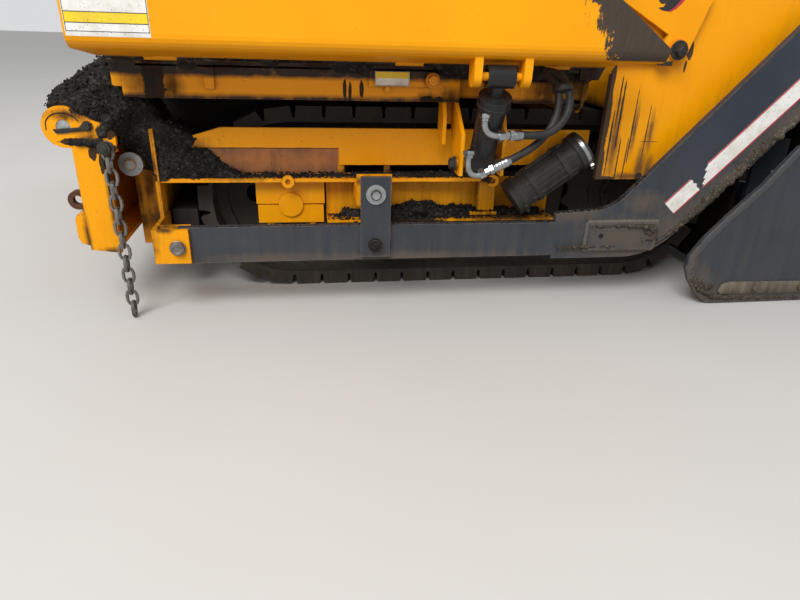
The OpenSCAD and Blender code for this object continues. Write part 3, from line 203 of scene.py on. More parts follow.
    # Edges worn through to what is under the finish
    rounded = node(tree, "Bevel", {"Radius": edge_mm / 1000}, samples=4)
    flat = node(tree, "NewGeometry", output="Normal")
    facing = node(tree, "VectorMath", (rounded, flat), operation="DOT_PRODUCT", output="Value")
    worn = node(tree, "MapRange", (facing, 0.985, 0.86))
    chipped = node(tree, "MapRange", (patches, 0.6 - 0.25 * edge_share, 0.7 - 0.22 * edge_share))
    worn = node(tree, "Math", (worn, chipped), operation="MULTIPLY")
    colour = node(tree, "Mix", (worn, colour, srgb(bare)))
    # Gloss: clean finish is smoother than the dirt and painted shade, and worn edges lie between
    matt = node(tree, "MapRange", (dirt_and_shade, 0, 1, rough[0], rough[1] + 0.15))
    matt = node(tree, "Math", (matt, film_mask if film_mask else flecks), operation="MAXIMUM")
    matt = node(tree, "Math", (matt, 0.8), operation="MINIMUM")
    # Relief: the finish's own grain, with dirt (the mask that also paints shade), specks and stains standing on it
    grain = node(tree, "TexNoise", (place, 1000 / grain_mm, 3))
    raised = node(tree, "Math", (flecks, dirt_and_shade), operation="ADD")
    raised = node(tree, "Math", (raised, patches), operation="MULTIPLY")
    crust = node(tree, "Bump", {"Height": raised, "Strength": 0.35, "Distance": 0.0015})
    relief = node(tree, "Bump", {"Height": grain, "Normal": crust, "Strength": 0.5,
        "Distance": grain_depth_mm / 1000})
    shader = node(tree, "BsdfPrincipled", {"Base Color": colour, "Roughness": matt, "Metallic": metal,
        "Normal": relief, "Coat Weight": coat, "Coat Roughness": 0.25, "Specular IOR Level": shine})
    node(tree, "OutputMaterial", {"Surface": shader})
    return material


def mm(words):
    """A list of points, in metres, from a line of millimetres such as "24 0, 24 12.5"."""
    return [tuple(float(number + "e-3") for number in point.split()) for point in words.split(",")]


# Scraped band along the wing's raked rear edge: direction across it in x and z, where it starts, how ragged, lowest
WING_SCRAPE = ((0.845, 0.535, 0.48, 0.032, 0.828),)
# Places of film and soot on both sides of the machine: x, z, and how far each reaches along and up, in metres. The
# hopper's soot is partly painted shade, where the wing shades the side channel
HOPPER_SOOT_AND_SHADE = mm("-1280 730 90 80, -1220 720 50 90, -1050 790 140 50, -780 790 160 50, -420 690 100 30, "
    "-360 700 60 50, -50 690 100 50, -920 680 300 12, -1150 660 300 20, -30 725 130 120, 90 750 120 140")
HOPPER_FILM = mm("-1272 760 46 90, -1272 700 46 90, -702 720 10 50, -686 710 8 45, -650 720 12 40, "
    "-440 692 30 14, -400 690 20 18")
FRAME_SOOT = mm("-1400 270 100 90, -1390 370 22 120, -1335 235 50 30, -1280 300 60 20, -1350 600 100 120, "
    "-1350 280 80 100, -1300 470 100 60, -1200 500 120 80, -1050 440 200 35, -600 440 300 25, -450 285 160 30, "
    "-100 285 300 20, -1360 380 40 140")
FRAME_FILM = mm("-1300 430 50 20, -500 275 250 20, -200 420 30 20")
BUMPER_FILM = mm("-1435 500 17 50, -1420 545 60 30, -1490 560 40 12, -1428 440 8 60, -1460 530 16 30, "
    "-1470 655 50 20, -1402 600 50 45, -1500 565 70 16")
BUMPER_SOOT = mm("-1500 640 90 30, -1460 570 60 30, -1450 220 60 20, -1520 250 20 150, -1430 360 15 150")
SIDE_FILM = mm("187 740 16 160, 190 600 18 200, 190 480 24 120, 220 434 60 10, 225 700 4 140, 238 660 6 180, "
    "214 550 5 160, 445 860 14 40, 437 810 7 30, 290 600 4.5 160, 283 500 3.5 120, 255 500 4 120, "
    "345 600 3 140, 360 562 50 2, 350 440 20 20")
SIDE_SOOT = mm("345 470 35 120, 375 450 30 90, 230 550 30 200, 360 580 20 120, 300 440 130 20, 980 820 50 100, "
    "300 600 12 120")
ARM_SOOT = mm("50 340 220 60, 270 250 200 100, 470 270 140 110, -500 185 600 30, 300 190 300 50, "
    "-950 190 300 30, 600 360 120 100, 820 620 140 120, 542 343 110 60, 630 439 110 70, 732 549 110 70, "
    "834 659 110 70, 340 370 100 60, 1020 900 200 100")
GATE_SOOT = mm("570 70 100 120, 620 30 140 60, 700 30 300 40, 1200 30 400 50, 530 160 30 80")
SCREED_SOOT = mm("1100 100 60 200, 1450 50 300 80, 1250 360 200 40, 1550 400 80 30")

ORANGE, WORN_ORANGE = "#FFAA00", "#F9A100"
SLATE, DUSTY_SLATE = "#262D37", "#303741"


def orange_enamel(name, **more):
    """Alkyd enamel sprayed on mild steel: half gloss, chipped to rusty steel, splashed with asphalt."""
    settings = dict(rough=(0.36, 0.7), patch=0.45, dirt="#8A5214", dirt_share=0.35, low_share=0.16,
        bare="#6A3D1E", edge_mm=3, edge_share=0.55, speck_share=0.2, grain_mm=2.2, grain_depth_mm=0.05,
        shine=0.28)
    settings.update(more)
    return surface(name, ORANGE, WORN_ORANGE, **settings)


wing_enamel = orange_enamel("orange_enamel_wing", scraped=WING_SCRAPE, dirt_share=0.15, speck_share=0.12,
    peeled_colour="#2B2724")
# The hopper's dark brown corner dirt, its soot places and the two soot rims along its side channel are partly painted
# shade, the shadow that the wing casts on the channel
hopper_enamel = orange_enamel("orange_enamel_hopper", sooted=HOPPER_SOOT_AND_SHADE, peeled=HOPPER_FILM, dirt="#3A2410",
    dirt_share=0.55, rim=((0.704, 0.69, 0.66, 1.1), (0.742, 0.758, 0.806, 1.3)), edge_mm=4)
hanger_enamel = orange_enamel("orange_enamel_hanger", dirt="#5A3512", dirt_share=0.4)
frame_enamel = orange_enamel("orange_enamel_frame", sooted=FRAME_SOOT, peeled=FRAME_FILM, dirt="#5A3512",
    dirt_share=0.5, speck_share=0.3, soot_colour="#2C2118")
block_enamel = orange_enamel("orange_enamel_block", dirt="#7A4A1C", dirt_share=0.25, edge_mm=2)
bumper_enamel = orange_enamel("orange_enamel_bumper", sooted=BUMPER_SOOT, peeled=BUMPER_FILM, dirt_share=0.2,
    edge_mm=4)
side_enamel = orange_enamel("orange_enamel_side", peeled=SIDE_FILM, sooted=SIDE_SOOT, dirt_share=0.2,
    streak=0.12, soot_colour="#6A4A2A", peeled_colour="#3A332C")
# Behind the tracks and round the augers the body's plates are black below 0.7 m, partly old asphalt and partly
# painted shade behind the tow arms
body_enamel = orange_enamel("orange_enamel_body", dirt_share=0.5, rim=((0.7, 0.6, -99.0, 3.0),),
    soot_colour="#15120F")
hood_enamel = orange_enamel("orange_enamel_hood", dirt_share=0.3, speck_share=0.08, edge_share=0.3, coat=0.15)
# Frame plates between the tracks: enamel almost hidden under a coat of old asphalt and oily dust, and darkened
# further as painted shade, since these plates lie in the shadow between the tracks
asphalt_and_shade_enamel = surface("asphalt_coated_enamel", "#1C1815", "#2E2219", rough=(0.7, 0.9), patch=0.2, grain_mm=5,
    grain_depth_mm=0.5, dirt="#14110F", dirt_share=0.7, low_share=0.3, bare="#5A3A1C", edge_mm=5,
    edge_share=0.3, speck_share=0.4, streak=0.2)
# Machine grey-blue enamel, dusty, scraped by the mix that it works in
slate_settings = dict(rough=(0.4, 0.75), patch=0.3, dirt="#5E564B", dirt_share=0.4, low_share=0.3,
    bare="#77706A", edge_mm=4, speck="#7A7266", speck_share=0.12, streak=0.05, soot_colour="#5B5046")
arm_enamel = surface("slate_enamel_arm", SLATE, DUSTY_SLATE, sooted=ARM_SOOT, **slate_settings)
gate_enamel = surface("slate_enamel_gate", SLATE, DUSTY_SLATE, sooted=GATE_SOOT, **slate_settings)
gate_edge_enamel = surface("slate_enamel_gate_edge", "#3B4047", "#4E4B47", sooted=GATE_SOOT, **slate_settings)
screed_enamel = surface("slate_enamel_screed", SLATE, DUSTY_SLATE, sooted=SCREED_SOOT, **slate_settings)
drive_enamel = surface("slate_enamel_drive", SLATE, DUSTY_SLATE, **slate_settings)
# Rollers and sprockets of the tracks: dark enamel under caked dust and mix
running_gear = surface("caked_running_gear", "#211E1B", "#312A23", rough=(0.65, 0.9), patch=0.12, grain_mm=4,
    grain_depth_mm=0.4, dirt="#4B4237", bare="#6F675E", edge_share=0.9, speck_share=0.4, streak=0.2)
# Black enamel on the cylinders: darker and glossier, with oily dust
black_enamel = surface("black_enamel", "#161719", "#202124", rough=(0.32, 0.6), dirt="#39332C", low_share=0.2,
    bare="#54504B", edge_mm=2, speck_share=0.1, streak=0.15)
# Stove-blackened steel of the silencer and stack: dull, with rust bloom
heat_black = surface("heat_blackened_steel", "#2A2623", "#3F2D22", rough=(0.7, 0.9), dirt="#5F3F28",
    low_share=0.1, bare="#6E4526", patch=0.12, streak=0.35)
# Vulcanised rubber of the track pads: matt, ground in with road dust
pad_rubber = surface("track_rubber", "#211E1C", "#2B2723", rough=(0.85, 0.95), patch=0.09, grain_mm=5,
    grain_depth_mm=0.5, dirt="#51473B", bare="#3F3932", edge_mm=6, speck_share=0.3, streak=0.2)
hose_rubber = surface("hose_rubber", "#1D1E20", "#2E2E2E", rough=(0.55, 0.8), patch=0.05, grain_mm=1.6,
    grain_depth_mm=0.08, dirt="#5D564C", low_share=0.3, bare="#37373A", edge_mm=1, speck_share=0.2)
# Hard chrome on the rods: mirror smooth, with a film of oil and dust
chrome = surface("chromed_rod", "#D6D8DA", "#C9C6C0", rough=(0.12, 0.4), metal=1.0, dirt="#5A5148",
    dirt_share=0.4, low_share=0.1, bare="#8F8C88", edge_mm=1, speck_share=0.1, grain_depth_mm=0.005)
# Hot-dip galvanised steel: grey spangle, dull, with white bloom
zinc = surface("galvanised_steel", "#B4B8BA", "#94989A", rough=(0.42, 0.65), metal=0.85, patch=0.02,
    dirt="#6A6259", low_share=0.35, bare="#D0D2D2", edge_mm=1.5, speck_share=0.2, grain_depth_mm=0.03)
chain_steel = surface("weathered_chain_steel", "#8C8A87", "#6E6862", rough=(0.38, 0.7), metal=0.75, patch=0.03,
    dirt="#4A3C30", dirt_share=0.6, low_share=0.3, bare="#B4B1AC", edge_mm=1.5, speck_share=0.3)
bright_zinc = surface("bright_zinc_fitting", "#A6A9AA", "#8E9293", rough=(0.3, 0.55), metal=1.0, patch=0.02,
    dirt="#6A6259", dirt_share=0.35, low_share=0.0, bare="#F0F0F0", edge_mm=1, speck_share=0.05,
    grain_depth_mm=0.01)
# Forged steel left bare: brown rust with darker scale
rust = surface("rusted_steel", "#5A3A26", "#36271E", rough=(0.8, 0.95), patch=0.03, grain_mm=2.5,
    grain_depth_mm=0.35, dirt="#3A2C22", dirt_share=0.6, low_share=0.3, bare="#7D5433", speck_share=0.2)
# Cast auger flights, scoured by the mix: dark with bright rims
auger_iron = surface("scoured_cast_iron", "#3A3836", "#23211F", rough=(0.45, 0.8), metal=0.7, patch=0.12,
    dirt="#191715", dirt_share=0.9, low_share=0.5, bare="#9C9893", edge_mm=5, edge_share=1.0, speck_share=0.5)

FINISHES = {
    wing_enamel: ("wing_left", "wing_right"),
    hopper_enamel: ("hopper_body",),
    hanger_enamel: ("wing_hangers",),
    frame_enamel: ("side_frame_left", "side_frame_right"),
    block_enamel: ("bearing_blocks",),
    asphalt_and_shade_enamel: ("main_frame",),
    bumper_enamel: ("front_bumper",),
    side_enamel: ("side_plate_left", "side_plate_right"),
    body_enamel: ("rear_body", "deck", "lift_brackets"),
    hood_enamel: ("engine_hood", "fuel_tank", "hydraulic_tank"),
    arm_enamel: ("tow_arm_left", "tow_arm_right", "guide_straps"),
    gate_enamel: ("end_gate_left", "end_gate_right"),
    screed_enamel: ("screed_main", "screed_ext_left", "screed_ext_right", "walkboard"),
    drive_enamel: ("auger_drive", "engine", "console", "seat_frames"),
    running_gear: ("track_frames", "track_wheels_left", "track_wheels_right"),
    black_enamel: ("wing_barrel_left", "wing_barrel_right", "wing_rod_left", "wing_rod_right",
                   "hopper_barrels", "lift_barrels"),
    heat_black: ("exhaust_stack",),
    pad_rubber: ("track_left", "track_right"),
    hose_rubber: ("air_duct", "seat_pad_left", "seat_pad_right"),
    chrome: ("hopper_rods", "lift_rods"),
    chain_steel: ("chain_left", "chain_right"),
    zinc: ("push_roller_left", "push_roller_right", "depth_screws"),
    rust: ("tow_hooks",),
    auger_iron: ("auger_left", "auger_right"),
}
for finish, names in FINISHES.items():
    for name in names:
        slots = frame["nodes"][name].data.materials
        slots.clear()
        slots.append(finish)

# Tools for modelling pieces, each used as a hand would use it: add, shape in edit mode, finish, and hang on its body
mesh_edit = bpy.ops.mesh
move = bpy.ops.transform
object_tool = bpy.ops.object
RIGHT_OF = {"wing_left": "wing_right", "wing_barrel_left": "wing_barrel_right", "ext_left": "ext_right"}


# Ways to point, and the number of sides of a weld bead
LEFT, RIGHT, UP, FORE, AFT = (0, -1, 0), (0, 1, 0), (0, 0, 1), (-1, 0, 0), (1, 0, 0)
WELD_SIDES = 8


def start(add, name, **settings):
    """Adds a primitive with nothing else selected, names it, and puts its place into its mesh."""
    deselect_all(action="DESELECT")
    add(**settings)
    piece = bpy.context.object
    piece.name = piece.data.name = name
    object_tool.transform_apply(location=True, rotation=True, scale=True)
    return piece


def edit(piece, kind="FACE", everything=True):
    """Opens a piece in edit mode."""
    deselect_all(action="DESELECT")
    bpy.context.view_layer.objects.active = piece
    piece.select_set(True)
    object_tool.mode_set(mode="EDIT")
    mesh_edit.select_mode(type=kind)
    mesh_edit.select_all(action="SELECT" if everything else "DESELECT")


def done():
    """Closes edit mode."""
    object_tool.mode_set(mode="OBJECT")


def choose(piece, wanted):
    """Opens a piece with only those faces selected whose centre and normal pass the test."""
    edit(piece, everything=False)
    done()
    for face in piece.data.polygons:
        face.select = wanted(face.center, face.normal)
    object_tool.mode_set(mode="EDIT")


def box(name, low, high, round_mm=2.0, steps=2):
    """A block between two corners with rounded edges."""
    low, high = Vector(low), Vector(high)
    piece = start(mesh_edit.primitive_cube_add, name, size=1, location=(low + high) / 2, scale=high - low)
    edit(piece)
    mesh_edit.bevel(offset=round_mm / 1000, segments=steps, affect="EDGES")
    done()
    return piece


def turned(name, rings, sides=32):
    """A turned piece along Z, drawn out ring by ring from (radius, height) in metres."""
    radius, height = rings[0]
    piece = start(mesh_edit.primitive_circle_add, name, vertices=sides, radius=radius, fill_type="NGON",
        location=(0, 0, height))
    edit(piece)
    for next_radius, next_height in rings[1:]:
        mesh_edit.extrude_region_move(TRANSFORM_OT_translate={"value": (0, 0, next_height - height)})
        share = next_radius / radius
        move.resize(value=(share, share, 1), center_override=(0, 0, next_height))
        radius, height = next_radius, next_height
    mesh_edit.select_all(action="SELECT")
    mesh_edit.normals_make_consistent(inside=False)
    done()
    return piece


def cut_plate(name, outline, thick, round_mm=0.0):
    """A plate cut to an outline of 3-D points and drawn out by the vector thick."""
    piece = start(mesh_edit.primitive_circle_add, name, vertices=len(outline), radius=1, fill_type="NGON")
    for vertex, place in zip(piece.data.vertices, outline):
        vertex.co = place
    edit(piece)
    mesh_edit.extrude_region_move(TRANSFORM_OT_translate={"value": tuple(thick)})
    mesh_edit.select_all(action="SELECT")
    mesh_edit.normals_make_consistent(inside=False)
    if round_mm:
        mesh_edit.bevel(offset=round_mm / 1000, segments=2, affect="EDGES")
    done()
    return piece


def tube(name, points, radius, sides=16, wave=0.0, pitch=0.0, straight=False):
    """A round bar, hose or weld along a smooth curve; wave and pitch give a weld its ripples."""
    spots = [Vector(point) for point in points]
    if wave:
        spots = spaced(spots, pitch)
    deselect_all(action="DESELECT")
    bpy.ops.curve.primitive_nurbs_path_add()
    piece = bpy.context.object
    piece.name = piece.data.name = name
    curve = piece.data
    curve.splines.clear()
    spline = curve.splines.new("POLY" if wave or straight or len(spots) < 3 else "NURBS")
    spline.points.add(len(spots) - 1)
    for number, (point, place) in enumerate(zip(spline.points, spots)):
        point.co = (*place, 1)
        point.radius = 1 + wave * (number % 2)
    spline.use_endpoint_u = True
    spline.order_u = min(4, len(spots))
    curve.resolution_u = 8
    curve.bevel_depth = radius
    curve.bevel_resolution = sides // 4
    curve.use_fill_caps = True
    curve.twist_mode = "MINIMUM"
    object_tool.convert(target="MESH")
    return bpy.context.object


def weld(name, points, radius, wave=0.3, pitch=0.006):
    """A rippled weld bead along a line."""
    return tube(name, points, radius, WELD_SIDES, wave, pitch)


def spaced(points, pitch):
    """Points a pitch apart along a broken line."""
    out = []
    for first, second in zip(points, points[1:]):
        count = max(1, round((second - first).length / pitch))
        out += [first.lerp(second, step / count) for step in range(count)]
    return out + [points[-1]]


def smoothed(points, steps=6):
    """Points close together along a smooth line through the given ones."""
    spots = [Vector(point) for point in points]
    spots = [spots[0] * 2 - spots[1]] + spots + [spots[-1] * 2 - spots[-2]]
    line = []
    for a, b, c, d in zip(spots, spots[1:], spots[2:], spots[3:]):
        for step in range(steps):
            t = step / steps
            line.append(0.5 * (2 * b + (c - a) * t + (2 * a - 5 * b + 4 * c - d) * t ** 2
                + (3 * b - a - 3 * c + d) * t ** 3))
    return line + [spots[-2]]


def aimed(place, along=UP, turn=0.0):
    """The move that stands a piece made along Z at a place, pointing along a direction."""
    stood = Vector(along).to_track_quat("Z", "Y").to_matrix().to_4x4()
    return Matrix.Translation(place) @ stood @ Matrix.Rotation(turn, 4, "Z")


def put(piece, matrix):
    """Moves a piece's mesh and gives the piece back."""
    piece.data.transform(matrix)
    return piece


def stood(name, rings, place, way=None, sides=32, turn=0.0):
    """A turned piece stood at a place, upright or pointing along a way."""
    return put(turned(name, rings, sides), aimed(place, way, turn) if way else Matrix.Translation(place))


def copied(piece, name, matrix=Matrix.Identity(4)):
    """A copy with its own mesh, moved."""
    twin = piece.copy()
    twin.data = piece.data.copy()
    twin.name = twin.data.name = name
    twin.data.transform(matrix)
    bpy.context.collection.objects.link(twin)
    return twin


def joined(name, parts):
    """Several pieces made one."""
    deselect_all(action="DESELECT")
    for part in parts:
        part.select_set(True)
    bpy.context.view_layer.objects.active = parts[0]
    if len(parts) > 1:
        object_tool.join()
    piece = bpy.context.object
    piece.name = piece.data.name = name
    return piece


def finished(piece, material, body="root", smooth=35, slot=None):
    """Gives a piece its finish, shading and body; its slot, its material's usual one if none is given, is looked up
    but not kept.
    """
    piece.data.materials.clear()
    piece.data.materials.append(material)
    deselect_all(action="DESELECT")
    bpy.context.view_layer.objects.active = piece
    piece.select_set(True)
    object_tool.shade_smooth_by_angle(angle=math.radians(smooth))
    if body:
        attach(piece, body)
    slot = slot or SLOTS[material]
    return piece


def mirrored(piece, name):
    """The same piece on the other side of the machine."""
    twin = copied(piece, name, Matrix.Scale(-1, 4, RIGHT))
    twin.data.flip_normals()
    return twin


def pair(piece, material, body="root", smooth=35, slot=None):
    """Finishes a piece made for the left side, with its mirror image on the right."""
    name = piece.name
    twin = mirrored(piece, name + "_right")
    piece.name = piece.data.name = name + "_left"
    finished(piece, material, body, smooth=smooth, slot=slot)
    finished(twin, material, RIGHT_OF.get(body, body), smooth=smooth, slot=slot)
    return piece, twin


def apply_modifier(piece, kind, **settings):
    """Adds a modifier, sets it and applies it."""
    deselect_all(action="DESELECT")
    bpy.context.view_layer.objects.active = piece
    piece.select_set(True)
    added = piece.modifiers.new(kind.lower(), kind)
    for name, value in settings.items():
        setattr(added, name, value)
    object_tool.modifier_apply(modifier=added.name)


def under(x, y, top, depth=2.0):
    """What lies under a point: its place, normal and object."""
    hit, place, normal, _, found, _ = bpy.context.scene.ray_cast(bpy.context.evaluated_depsgraph_get(),
        Vector((x, y, top)), Vector((0, 0, -1)), distance=depth)
    return (place, normal, found) if hit else None


def mix_material(name, base, pale, grain_mm, gloss):
    """Hot-mix asphalt left on the machine: bitumen on angular stone, dull with greasy glints and patches of dust."""
    material, tree = empty_material(name)
    place = node(tree, "TexCoord", output="Object")
    stones = node(tree, "TexVoronoi", {"Vector": place, "Scale": 1000 / grain_mm, "Randomness": 1.0}).node
    fine = node(tree, "TexNoise", (place, 1000 / (grain_mm * 0.45), 4))
    broad = node(tree, "TexNoise", (place, 9, 4))
    shade = node(tree, "SeparateColor", {"Color": stones.outputs["Color"]}, output="Red")
    shade = node(tree, "MapRange", (shade, 0.7, 1.0, 0, 0.7))
    dust = node(tree, "MapRange", (broad, 0.5, 0.7, 0, 0.35))
    shade = node(tree, "Math", (shade, dust), operation="ADD")
    colour = node(tree, "Mix", (shade, srgb(base), srgb(pale)))
    matt = node(tree, "MapRange", (fine, 0.35, 0.65, gloss, 0.9))
    lump = node(tree, "Math", (stones.outputs["Distance"], fine), operation="ADD")
    relief = node(tree, "Bump", {"Height": lump, "Strength": 0.9, "Distance": grain_mm / 2500})
    shader = node(tree, "BsdfPrincipled", {"Base Color": colour, "Roughness": matt, "Normal": relief,
        "Specular IOR Level": 0.25})
    node(tree, "OutputMaterial", {"Surface": shader})
    return material


asphalt_mix = mix_material("asphalt_mix", "#141210", "#443F39", 8, 0.5)
mud_crust = mix_material("dried_mud_crust", "#3A332B", "#786C5E", 4, 0.6)
dry_mix = mix_material("dried_asphalt_crust", "#181513", "#3E3831", 5, 0.6)


def film(name, base, dusty, gloss=0.35):
    """Plain vinyl film, or another smooth skin: satin, in two tones, with fine dark specks."""
    material, tree = empty_material(name)
    place = node(tree, "TexCoord", output="Object")
    cloud = node(tree, "TexNoise", (place, 14, 6, 0.7))
    cloud = node(tree, "MapRange", (cloud, 0.42, 0.7))
    specks = node(tree, "TexNoise", (place, 260, 2))
    specks = node(tree, "MapRange", (specks, 0.68, 0.72))
    colour = node(tree, "Mix", (cloud, srgb(base), srgb(dusty)))
    colour = node(tree, "Mix", (specks, colour, srgb("#2A2622")))
    matt = node(tree, "MapRange", (cloud, 0, 1, gloss, 0.7))
    relief = node(tree, "Bump", {"Height": cloud, "Strength": 0.2, "Distance": 0.0004})
    shader = node(tree, "BsdfPrincipled", {"Base Color": colour, "Roughness": matt, "Normal": relief})
    node(tree, "OutputMaterial", {"Surface": shader})
    return material


white_film = film("white_vinyl_film", "#F0EFEA", "#D3CCBE")
yellow_film = film("yellow_vinyl_film", "#F4D428", "#DDBB2E")
red_film = film("red_vinyl_film", "#C9303F", "#A93240")
black_film = film("black_vinyl_film", "#1C1C1D", "#34312D")
lamp_red = film("red_acrylic_lens", "#B3141B", "#8E1A1C", 0.12)
gauge_glass = film("gauge_face_enamel", "#E4E6E4", "#CFD0CB", 0.1)

# Small painted and bare fastenings share finishes with finer patterns than the plates have
small = dict(patch=0.03, grain_mm=1.0, grain_depth_mm=0.02, speck_share=0.15)
bolt_orange = surface("orange_enamel_small", ORANGE, WORN_ORANGE, dirt="#7A4A1C", dirt_share=0.8,
    low_share=0.15, bare="#5A3420", edge_mm=1.0, **small)
bolt_black = surface("blackened_bolt_steel", "#2A2826", "#3B3632", rough=(0.5, 0.8), metal=0.4, dirt="#51483C",
    dirt_share=0.6, bare="#77706A", edge_mm=0.8, low_share=0.3, **small)
bolt_zinc = surface("zinc_plated_bolt_steel", "#C6CACC", "#A4A8AA", rough=(0.32, 0.6), metal=0.9,
    dirt="#6A6259", dirt_share=0.7, bare="#E2E4E4", edge_mm=0.8, low_share=0.2, **small)
worn_steel = surface("rust_worn_steel", "#B2703A", "#8A5A3C", rough=(0.6, 0.85), patch=0.07, dirt="#4A352A",
    dirt_share=0.6, low_share=0.3, bare="#C8843C", edge_mm=2, speck_share=0.5, streak=0.3, grain_mm=2,
    grain_depth_mm=0.2)
wear_iron = surface("scuffed_wear_iron", "#8F8271", "#766B5E", rough=(0.5, 0.8), metal=0.3, patch=0.05,
    dirt="#3F3831", low_share=0.5, bare="#A39A8E", edge_mm=2, streak=0.2)
weld_slag = surface("painted_weld", "#E79A26", "#B87424", rough=(0.4, 0.7), patch=0.02, dirt="#4A3218",
    dirt_share=0.9, low_share=0.2, bare="#8A5A2A", edge_mm=1, grain_mm=1, grain_depth_mm=0.1)
dark_weld = surface("dusty_painted_weld", "#3F4449", "#5E5850", rough=(0.5, 0.8), patch=0.02, dirt="#7A6F60",
    dirt_share=0.9, low_share=0.5, bare="#77706A", edge_mm=1, grain_mm=1, grain_depth_mm=0.1)
black_plastic = surface("black_moulded_plastic", "#202123", "#2C2C2C", rough=(0.45, 0.75), patch=0.08,
    grain_mm=1.2, grain_depth_mm=0.06, dirt="#5D564C", low_share=0.2, bare="#3A3A3C", edge_mm=1,
    speck_share=0.15)
# Expanded vinyl on the seats: fine pebbled grain, dull
seat_vinyl = surface("seat_vinyl", "#26282B", "#34363A", rough=(0.42, 0.7), patch=0.1, grain_mm=0.9,
    grain_depth_mm=0.12, dirt="#6A6358", low_share=0.0, bare="#3A3B3E", edge_mm=1, speck_share=0.06)

# The slot that goes with each material, looked up for a piece unless it is given another
SLOTS = {}
for slot_name, materials in {"zinc_steel": [zinc, dry_mix, chain_steel, bolt_black, bright_zinc, gauge_glass,
        bolt_zinc], "black_rubber": [black_plastic, hose_rubber, lamp_red],
        "paint_black": [black_enamel, asphalt_and_shade_enamel], "paint_yellow": [white_film, yellow_film, black_film,
        bolt_orange, red_film, body_enamel, hood_enamel, weld_slag], "rusty_steel": [worn_steel, wear_iron,
        rust, heat_black], "paint_dark": [gate_edge_enamel, dark_weld, drive_enamel, screed_enamel],
        "auger_iron": [asphalt_mix, mud_crust], "seat_vinyl": [seat_vinyl],}.items():
    SLOTS.update(dict.fromkeys(materials, slot_name))


def hex_bolt(across, head, washer=0.0, washer_t=0.003, shank=0.0):
    """A hexagon head with a chamfered rim over a washer, made along Z."""
    half = across / math.sqrt(3)
    bolt = turned("bolt", [(half, 0), (half, head * 0.8), (half * 0.88, head), (half * 0.45, head),
        (half * 0.42, head - 0.0006)], sides=6)
    put(bolt, Matrix.Translation((0, 0, washer_t if washer else 0)))
    parts = [bolt]
    if washer:
        parts.append(turned("washer", [(washer, 0), (washer, washer_t * 0.7), (washer * 0.975, washer_t),
            (half * 1.15, washer_t)], sides=36))
    if shank:
        parts.append(turned("shank", [(shank, -0.004), (shank, head * 1.25), (shank * 0.8, head * 1.35)],
            sides=20))
    return joined("bolt", parts)


def bolts(name, places, across, head, along=LEFT, washer=0.0, washer_t=0.003, shank=0.0):
    """Several like bolts as one piece, each turned by its own angle."""
    pattern = hex_bolt(across, head, washer, washer_t, shank)
    draw = random.Random(name)
    made = [copied(pattern, "bolt", aimed(place, along, draw.uniform(0, 1.0))) for place in places]
    bpy.data.objects.remove(pattern)
    return joined(name, made)


# Large galvanised washer and bolt on the front post, and the two on the guide strap
pair(bolts("post_washer", [(-1.386, -1.059, 0.476)], 0.03, 0.012, washer=0.0385, washer_t=0.006, shank=0.006),
    zinc)
pair(bolts("strap_washer", [(-0.611, -1.21, 0.409)], 0.027, 0.013, washer=0.0325, washer_t=0.005, shank=0.009),
    zinc)
pair(stood("strap_stud", mm("24 0, 24 12, 21 18, 12 18.5, 11 21, 6 22"), (-0.611, -1.209, 0.238), LEFT),
    dry_mix)
# Tow pin's head, its rim rolled over
pair(stood("tow_pin_head", mm("24 0, 24.5 3, 22.5 4.5, 22.5 9, 20.5 12.5, 15 14, 13 12.8, 5 13.2"),
    (-1.242, -1.2115, 0.241), LEFT), chain_steel)
# Chain bolt with its collar
pair(stood("chain_bolt_head", mm("19 0, 19.5 9, 17.5 13, 10 13.5, 9 17, 6 18"), (-1.406, -1.2215, 0.555),
    LEFT), bolt_black)

# Roller end plate: turned groove round the roller's shaft, keeper bar and its bolt
keeper = cut_plate("roller_keeper", mm("-1556 -1170.5 600, -1548 -1170.5 588, -1466 -1170.5 596, "
    "-1445 -1170.5 603, -1446 -1170.5 619, -1468 -1170.5 621, -1484 -1170.5 606"), (0, -0.005, 0), 1.2)
pair(keeper, bolt_black, slot="paint_yellow")
pair(bolts("keeper_bolt", [(-1.459, -1.175, 0.61)], 0.019, 0.008, washer=0.015), bolt_black)
slot_points = [(-1.527 + 0.047 * math.cos(math.radians(a)), -1.1703, 0.61 + 0.036 * math.sin(math.radians(a)))
    for a in range(20, 196, 8)]
pair(tube("roller_plate_groove", slot_points + [(-1.575, -1.1703, 0.598)], 0.0016, sides=8), dry_mix,
    slot="paint_yellow")

# Cylinder-side fittings: an elbow, a hexagon nut, a collar and the swaged ferrule of the hose, on both ports
UPPER_FITTING = mm("-297 -1300 662, -300 -1303 640, -292 -1305 622, -274 -1305 612, -249 -1304 611")
LOWER_FITTING = mm("-328 -1262 545, -331 -1266 512, -326 -1268 492, -308 -1270 482, -289 -1271 486")
UPPER_HOSE = mm("-176 -1300 613, -140 -1300 613, -100 -1296 617, -64 -1288 635, -33 -1272 668, -18 -1250 712, "
    "-22 -1224 752, -40 -1190 780, -62 -1150 786, -75 -1110 780, -80 -1070 770")
LOWER_HOSE = mm("-196 -1272 532, -165 -1272 549, -128 -1270 572, -94 -1266 602, -66 -1258 642, -50 -1244 690, "
    "-48 -1220 738, -58 -1180 768, -78 -1140 774, -92 -1100 768, -98 -1070 760")


